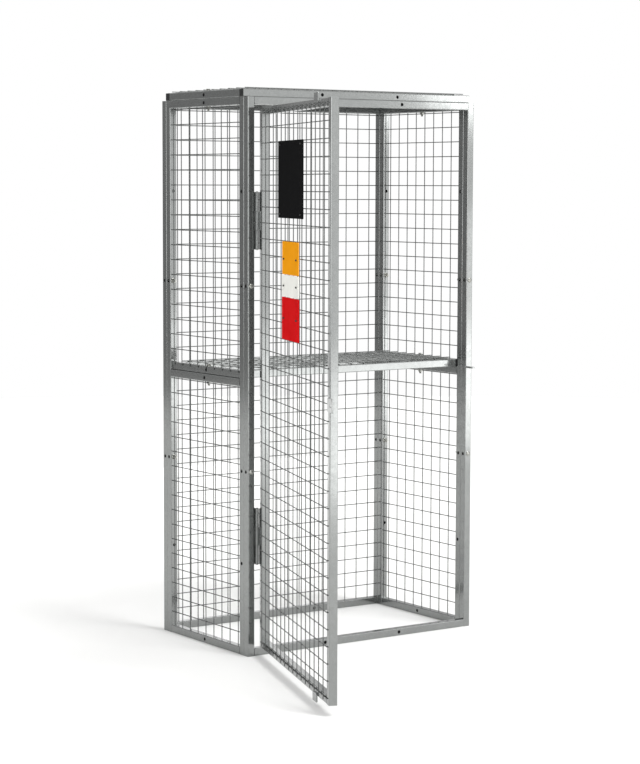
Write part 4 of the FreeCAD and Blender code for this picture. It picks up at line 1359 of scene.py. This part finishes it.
@dataclass
class Fasteners:
    """Round-headed joint bolts with flange nuts, and hexagon bolts with washers and nuts."""

    shank: float = 4.0
    flat: float = 6.5
    face: float = 6.37
    flange: float = 8.5
    flange_rim: float = 0.7
    flange_top: float = 7.4
    flange_height: float = 1.5
    head_height: float = 5.5
    dish: float = 4.55
    dish_depth: float = 0.4
    cup: float = 8.0
    cup_rim: float = 0.8
    cup_height: float = 4.0
    cup_steps: int = 9
    nut_height: float = 6.5
    washer_height: float = 1.6
    washer_bevel: float = 0.25
    bolt_end: float = 6.0
    thread: float = 4.05
    thread_pitch: float = 1.25
    thread_length: float = 14.0
    thread_depth: float = 0.5
    thread_fade: float = 0.6
    point: float = 0.8
    point_taper: float = 0.9
    eye: float = 4.2
    steps: int = 36

    def hexagon(self) -> tuple[np.ndarray, np.ndarray]:
        """Outline of a hexagon as r(t) = flat / cos(t mod 60 - 30), and how deep its chamfer cuts.

        Returns:
            Radius and chamfer depth for each step round it.
        """
        angle = np.linspace(0, 360, self.steps, endpoint=False)
        radius = self.flat / np.cos(np.radians(angle % 60 - 30))
        return radius, (radius - self.face) * math.tan(math.radians(30))

    def shaft(self, length: float) -> Profile:
        """Profile of a shank from its end up to height zero; its thread is a row of ridges.

        Args:
            length: Length of the shank.

        Returns:
            Rows of radius and height.
        """
        ridges = np.arange(self.point, self.thread_length, self.thread_pitch / 2)
        depth = np.where(np.arange(len(ridges)) % 2, 0.0, self.thread_depth)
        plain = self.thread_length + self.thread_fade - length
        return [
            (0.0, -length), (self.shank - self.point_taper, -length),
            *zip(self.shank - depth, ridges - length), (self.shank, plain), (self.shank, 0.0),
        ]

    def flanged(self, height: float) -> Profile:
        """Profile of a flange with a hexagon on it, from height zero up.

        Args:
            height: Height of the hexagon.

        Returns:
            Rows of radius and height.
        """
        foot, top = self.flange_height, self.flange_height + height
        radius, chamfer = self.hexagon()
        return [
            (self.flange, 0.0), (self.flange, self.flange_rim), (self.flange_top, foot), (radius, foot),
            (radius, top - chamfer), (self.face, top),
        ]

    def nut_hole(self, top: float) -> Profile:
        """Profile of a nut's hole from a height down to zero, widened at both ends."""
        wide, edge = self.thread + self.thread_depth, self.thread_depth
        return [(wide, top), (self.thread, top - edge), (self.thread, edge), (wide, 0.0)]

    def bolt(self, length: float) -> Skin:
        """A flange bolt: its dished hexagon head looks up, its shank runs down from height zero.

        Args:
            length: Length of the shank.

        Returns:
            The bolt's surface.
        """
        top = self.flange_height + self.head_height
        dish = [(self.dish, top), (0.0, top - self.dish_depth)]
        return lathe(self.shaft(length) + self.flanged(self.head_height) + dish, self.steps)

    def cup_bolt(self, length: float) -> Skin:
        """A bolt with a domed head, r = R sin a and z = h cos a above a short rim.

        Args:
            length: Length of the shank.

        Returns:
            The bolt's surface.
        """
        lean = np.radians(np.linspace(90, 0, self.cup_steps))
        height = self.cup_rim + (self.cup_height - self.cup_rim) * np.cos(lean)
        dome = zip(self.cup * np.sin(lean), height)
        return lathe([*self.shaft(length), (self.cup, 0.0), *dome], self.steps)

    def flange_nut(self) -> Skin:
        """A hexagon nut on a flange of its own, from height zero up."""
        hole = self.nut_hole(self.flange_height + self.nut_height)
        return lathe(self.flanged(self.nut_height) + hole, self.steps, ring=True)

    def nut(self) -> Skin:
        """A hexagon nut with chamfers on both faces, from height zero up.

        Returns:
            The nut's surface.
        """
        radius, chamfer = self.hexagon()
        top = self.nut_height
        body = [(self.face, 0.0), (radius, chamfer), (radius, top - chamfer), (self.face, top)]
        return lathe(body + self.nut_hole(top), self.steps, ring=True)

    def washer(self) -> Skin:
        """A flat washer with softened edges, from height zero up.

        Returns:
            The washer's surface.
        """
        top, soft = self.washer_height, self.washer_bevel
        edge = self.flange - soft
        return lathe([
            (edge, 0.0), (self.flange, soft), (self.flange, top - soft), (edge, top),
            (self.eye, top), (self.eye, 0.0),
        ], self.steps, ring=True)

    def build(self) -> None:
        """Make the joint bolts with their nuts, and the panel bolts with washers and nuts."""
        bolts, nuts = [], []
        reach = 2 * SIZES.tube
        shank = reach + self.flange_height + self.nut_height + self.bolt_end
        for side in Side:
            x = side.inset(HALF_TUBE)
            for head_y, inward in ((0.0, 1.0), (SIZES.depth, -1.0)):
                for z in JOINTS:
                    bolts.append(self.cup_bolt(shank).moved(facing((0, -inward, 0)), (x, head_y, z)))
                    seat = (x, head_y + inward * reach, z)
                    nuts.append(self.flange_nut().moved(facing((0, inward, 0)), seat))
        make_piece("joint_bolts", bolts, BRIGHT_ZINC)
        make_piece("joint_nuts", nuts, BRIGHT_ZINC)
        bolts, nuts, washers = [], [], []
        shank = reach + self.washer_height + self.nut_height + self.bolt_end
        y = SIZES.depth / 2
        for top in (SIZES.post + SIZES.tube, SIZES.mid_rail_top + SIZES.tube):
            under = top - reach - self.washer_height
            for side in Side:
                x = side.inset(SIZES.bolt_line)
                bolts.append(self.bolt(shank).moved(UNTURNED, (x, y, top)))
                washers.append(self.washer().moved(UNTURNED, (x, y, under)))
                nuts.append(self.nut().moved(UNTURNED, (x, y, under - self.nut_height)))
        make_piece("panel_bolts", bolts, BRIGHT_ZINC)
        make_piece("panel_nuts", nuts, BRIGHT_ZINC)
        make_piece("panel_washers", washers, BRIGHT_ZINC)


@dataclass(frozen=True)
class Board:
    """One plain sign board: its colours, its size, its lower edge and its ties.

    Its ties stand some wire pitches to either side of its middle, at its middle height or, where
    an edge distance is given, that far from its lower and upper edge.
    """

    name: str
    colour: str
    scuff: str
    width: float
    height: float
    base: float
    tie_pitches: float = 1.5
    tie_edge: float | None = None

    def finish(self) -> Moulded:
        """The board's own colour of foamed board."""
        coloured = replace(FOAM_BOARD, colour=self.colour, scuff=self.scuff)
        return replace(coloured, name=f"{self.name}_foam_board", slot=f"{self.name}_sign_board")

    def tie_heights(self) -> tuple[float, ...]:
        """Heights of its ties above its lower edge."""
        edge = self.tie_edge
        return (self.height / 2,) if edge is None else (edge, self.height - edge)


@dataclass
class SignBoards:
    """Four plain boards on the door's mesh and the cable ties that hold them."""

    back: float = SIZES.door_face - 2 * SIZES.wire
    thickness: float = 2.0
    corner: float = 4.0
    bevel: float = 0.3
    tie_clear: float = 0.3
    tie_thickness: float = 1.2
    tie_width: float = 4.0
    tie_corner: float = 1.0
    level_clear: float = 3.8
    lock_half: tuple[float, float] = (2.6, 2.7)
    lock_proud: float = 2.6
    lock_sunk: float = 0.4
    lock_corner: float = 0.8
    lock_bevel: float = 0.5
    boards: tuple[Board, ...] = (
        Board("black", "#0a0a0b", "#101011", 295.0, 230.0, 1401.0, tie_pitches=2.5, tie_edge=12.0),
        Board("amber", "#ee9c0c", "#e0940f", 194.0, 98.0, 1234.0),
        Board("white", "#eeeee8", "#e2e2dc", 200.0, 65.0, 1167.5),
        Board("red", "#d0090e", "#c0090d", 200.0, 127.0, 1039.0),
    )

    def tie(self, x: float, z: float) -> Skin:
        """A cable tie: a flat band carried round one upright wire and the board, with its square lock.

        Args:
            x: Place of the wire across the door.
            z: Height of the tie.

        Returns:
            The tie's surface.
        """
        front = self.back - self.thickness - self.tie_thickness
        rear = self.back + SIZES.wire + self.tie_thickness
        wide = SIZES.wire / 2 + self.tie_clear + self.tie_thickness
        deep = (rear - front) / 2
        outer = rounded_loop(wide, deep, self.tie_corner)
        inner = rounded_loop(wide - self.tie_thickness, deep - self.tie_thickness, self.tie_clear)
        half = self.tie_width / 2
        band = loft([outer, outer, inner, inner], [-half, half, half, -half], ring=True)
        lock_x, lock_z = self.lock_half
        low, high = (-lock_x, -deep - self.lock_proud, -lock_z), (lock_x, self.lock_sunk - deep, lock_z)
        lock = slab(low, high, self.lock_corner, self.lock_bevel, Along.Z)
        return Skin.join([band, lock]).moved(UNTURNED, (x, (front + rear) / 2, z))

    def clear_of_levels(self, z: float) -> float:
        """Move a height just clear of the nearest level wire.

        Args:
            z: The height.

        Returns:
            The height, moved where the wire is too close.
        """
        level = DOOR_LEVELS[np.argmin(np.abs(DOOR_LEVELS - z))]
        if abs(z - level) >= self.level_clear:
            return z
        return level + self.level_clear if z >= level else level - self.level_clear

    def build(self) -> None:
        """Make the boards and all their ties."""
        middle = SIZES.width / 2
        ties = []
        for board in self.boards:
            low = (middle - board.width / 2, self.back - self.thickness, board.base)
            high = (middle + board.width / 2, self.back, board.base + board.height)
            plate = slab(low, high, self.corner, self.bevel, Along.Y)
            make_piece(f"{board.name}_sign_plate", [plate], board.finish(), Carrier.DOOR)
            for height in board.tie_heights():
                z = self.clear_of_levels(board.base + height)
                reach = board.tie_pitches * SIZES.pitch
                ties += [self.tie(middle + way * reach, z) for way in (-1, 1)]
        make_piece("sign_ties", ties, BLACK_NYLON, Carrier.DOOR)


@dataclass(frozen=True)
class StudioFloor(Finish):
    """Matt white paper: an even pale floor with a hardly visible cloud.

    It gives the eye a plain ground that only shows the cage's soft shadow.
    """

    colour: str = "#e9e9e8"
    cloud: str = "#e6e6e5"
    cloud_mm: float = 900.0

    def paint(self, tree: bpy.types.NodeTree) -> Sockets:
        """A wide noise shifts the white very slightly.

        Args:
            tree: The material's nodes.

        Returns:
            Values and outputs for the shader's sockets.
        """
        place = add_node(tree, "TexCoord", {}, "Object")
        clouds = add_node(tree, "TexNoise", {"Vector": place, "Scale": per_metre(self.cloud_mm)})
        colour = add_node(tree, "Mix", {
            FACTOR: clouds, COLOUR_A: linear(self.colour), COLOUR_B: linear(self.cloud),
        }, MIXED_COLOUR, data_type="RGBA")
        return {"Base Color": colour, "Roughness": 0.9, "Specular IOR Level": 0.1}


class LampKind(Enum):
    """A far light with parallel rays or a rectangular box of light."""

    SUN = "SUN"
    SOFTBOX = "AREA"


@dataclass(frozen=True)
class Lamp:
    """One soft light: where it stands, where it points, its width, height, power and kind."""

    name: str
    place: Point
    aim: Point
    width: float
    height: float
    power: float
    kind: LampKind = LampKind.SOFTBOX

    def build(self) -> None:
        """Stand the lamp in the studio. A sun's width is its angle in degrees."""
        light = bpy.data.lights.new(self.name, self.kind.value)
        light.energy = self.power
        if self.kind is LampKind.SUN:
            light.angle = math.radians(self.width)
        else:
            light.shape = "RECTANGLE"
            light.size, light.size_y = self.width, self.height
        stand = bpy.data.objects.new(self.name, light)
        aim = Vector(self.aim) - Vector(self.place)
        stand.location = self.place
        stand.rotation_euler = aim.to_track_quat("-Z", "Y").to_euler()
        stand.visible_camera = False
        bpy.context.scene.collection.objects.link(stand)


@dataclass
class Studio:
    """The pale floor, the soft light and the camera at the photograph's angle, in metres and degrees."""

    focal_px: float = 2195.5
    sensor_mm: float = 36.0
    place: Point = (-4.1847, -5.8131, 1.4976)
    yaw: float = 34.663
    pitch: float = -5.109
    roll: float = 0.15
    view_reach: float = 200.0
    floor_radius: float = 8.5
    floor_sides: int = 96
    glow_from: Point = (0.18, -0.28, 0.943)
    dim: float = 0.36
    bright: float = 1.15
    lamps: tuple[Lamp, ...] = (
        Lamp("soft_sun", (1.1, -3.2, 5.6), (0.0, 0.25, 0.0), 20.0, 0.0, 1.75, LampKind.SUN),
        Lamp("camera_softbox", (-5.2, -6.9, 2.1), (0.0, 0.25, 0.9), 8.0, 3.2, 230.0),
        Lamp("broad_softbox", (2.45, -3.2, 1.35), (0.2, 0.2, 1.35), 2.2, 2.4, 10.0),
        Lamp("strip_light", (2.86, -2.98, 0.9), (1.6, -1.4, 0.9), 0.26, 1.0, 1.1),
        Lamp("top_strip", (2.9, -3.0, 2.0), (1.6, -1.4, 2.0), 0.5, 0.3, 2.4),
        Lamp("low_softbox", (2.3, -3.0, 0.5), (1.1, -1.2, 0.5), 1.6, 0.6, 5.4),
        Lamp("front_softbox", (-0.4, -5.0, 1.45), (-0.4, 0.0, 1.45), 1.4, 1.7, 6.0),
        Lamp("front_low_softbox", (-0.4, -4.98, 0.35), (-0.4, 0.0, 0.35), 1.4, 0.6, 6.5),
        Lamp("backdrop_softbox", (1.0, 4.2, 0.85), (1.0, 0.0, 0.85), 3.4, 1.7, 11.5),
    )

    def build(self) -> None:
        """Make the floor, the lamps, the sky and the camera."""
        self.build_floor()
        for lamp in self.lamps:
            lamp.build()
        self.build_sky()
        self.build_camera()
        bpy.context.scene.view_settings.view_transform = "Standard"

    def build_floor(self) -> None:
        """A flat disc under the cage: points (r cos t, r sin t, 0)."""
        skin = lathe([(self.floor_radius, 0.0), (0.0, 0.0)], self.floor_sides)
        mesh = bpy.data.meshes.new("studio_floor")
        mesh.from_pydata(skin.points.tolist(), [], skin.quads.tolist())
        mesh.materials.append(StudioFloor("white_paper_floor").material())
        floor = bpy.data.objects.new("studio_floor", mesh)
        bpy.context.scene.collection.objects.link(floor)

    def build_sky(self) -> None:
        """White where the eye sees it; for light and reflections brightest towards one side.

        The glow follows the dot product of the direction and the bright side's direction.
        """
        world = bpy.data.worlds.new("studio_surround")
        bpy.context.scene.world = world
        world.use_nodes = True
        tree = world.node_tree
        direction = add_node(tree, "TexCoord", {}, "Generated")
        towards = add_node(
            tree, "VectorMath", {0: direction, 1: self.glow_from}, "Value", operation="DOT_PRODUCT",
        )
        glow = add_node(tree, "MapRange", {
            "Value": towards, "From Min": -0.35, "From Max": 0.95,
            "To Min": self.dim, "To Max": self.bright,
        })
        seen = add_node(tree, "LightPath", {}, "Is Camera Ray")
        strength = add_node(tree, "Mix", {FACTOR: seen, NUMBER_A: glow, NUMBER_B: 1.0})
        set_inputs(tree, tree.nodes["Background"], {"Color": linear("#ffffff"), "Strength": strength})

    def build_camera(self) -> None:
        """Look along (sin yaw cos pitch, cos yaw cos pitch, sin pitch) from the fitted place."""
        yaw, pitch, roll = (math.radians(angle) for angle in (self.yaw, self.pitch, self.roll))
        level = math.cos(pitch)
        forward = Vector((math.sin(yaw) * level, math.cos(yaw) * level, math.sin(pitch)))
        camera = bpy.data.cameras.new("photo_camera")
        camera.sensor_width = self.sensor_mm
        camera.lens = self.focal_px * self.sensor_mm / IMAGE_HEIGHT_PX
        camera.clip_end = self.view_reach
        stand = bpy.data.objects.new("photo_camera", camera)
        turn = forward.to_track_quat("-Z", "Y").to_matrix() @ Matrix.Rotation(roll, 3, "Z")
        stand.matrix_world = Matrix.Translation(self.place) @ turn.to_4x4()
        bpy.context.scene.collection.objects.link(stand)
        bpy.context.scene.camera = stand


def main() -> None:
    """Build every sub-assembly in order."""
    logging.basicConfig(level=logging.INFO, format="%(name)s %(message)s")
    front, back = POST_LINES
    EndFrame("front", front, (Level.TOP, Level.BOTTOM)).build()
    EndFrame("back", back, tuple(Level)).build()
    BackMesh().build()
    for side in Side:
        SidePanel(side).build()
    roof = Tray("roof", 0.0, SIZES.tube, SIZES.post, long_through=True, longs=10)
    shelf = Tray(
        "shelf", SIZES.shelf_left, SIZES.shelf_front, SIZES.mid_rail_top, long_through=False, longs=8,
    )
    caps = EndCaps()
    for tray in (roof, shelf):
        tray.build()
        caps.tray(tray)
    caps.posts()
    DoorLeafFrame().build()
    caps.door()
    for place in HingePlace:
        Hinge(place).build()
    Lock().build()
    Fasteners().build()
    SignBoards().build()
    Studio().build()


if __name__ == "__main__":
    main()
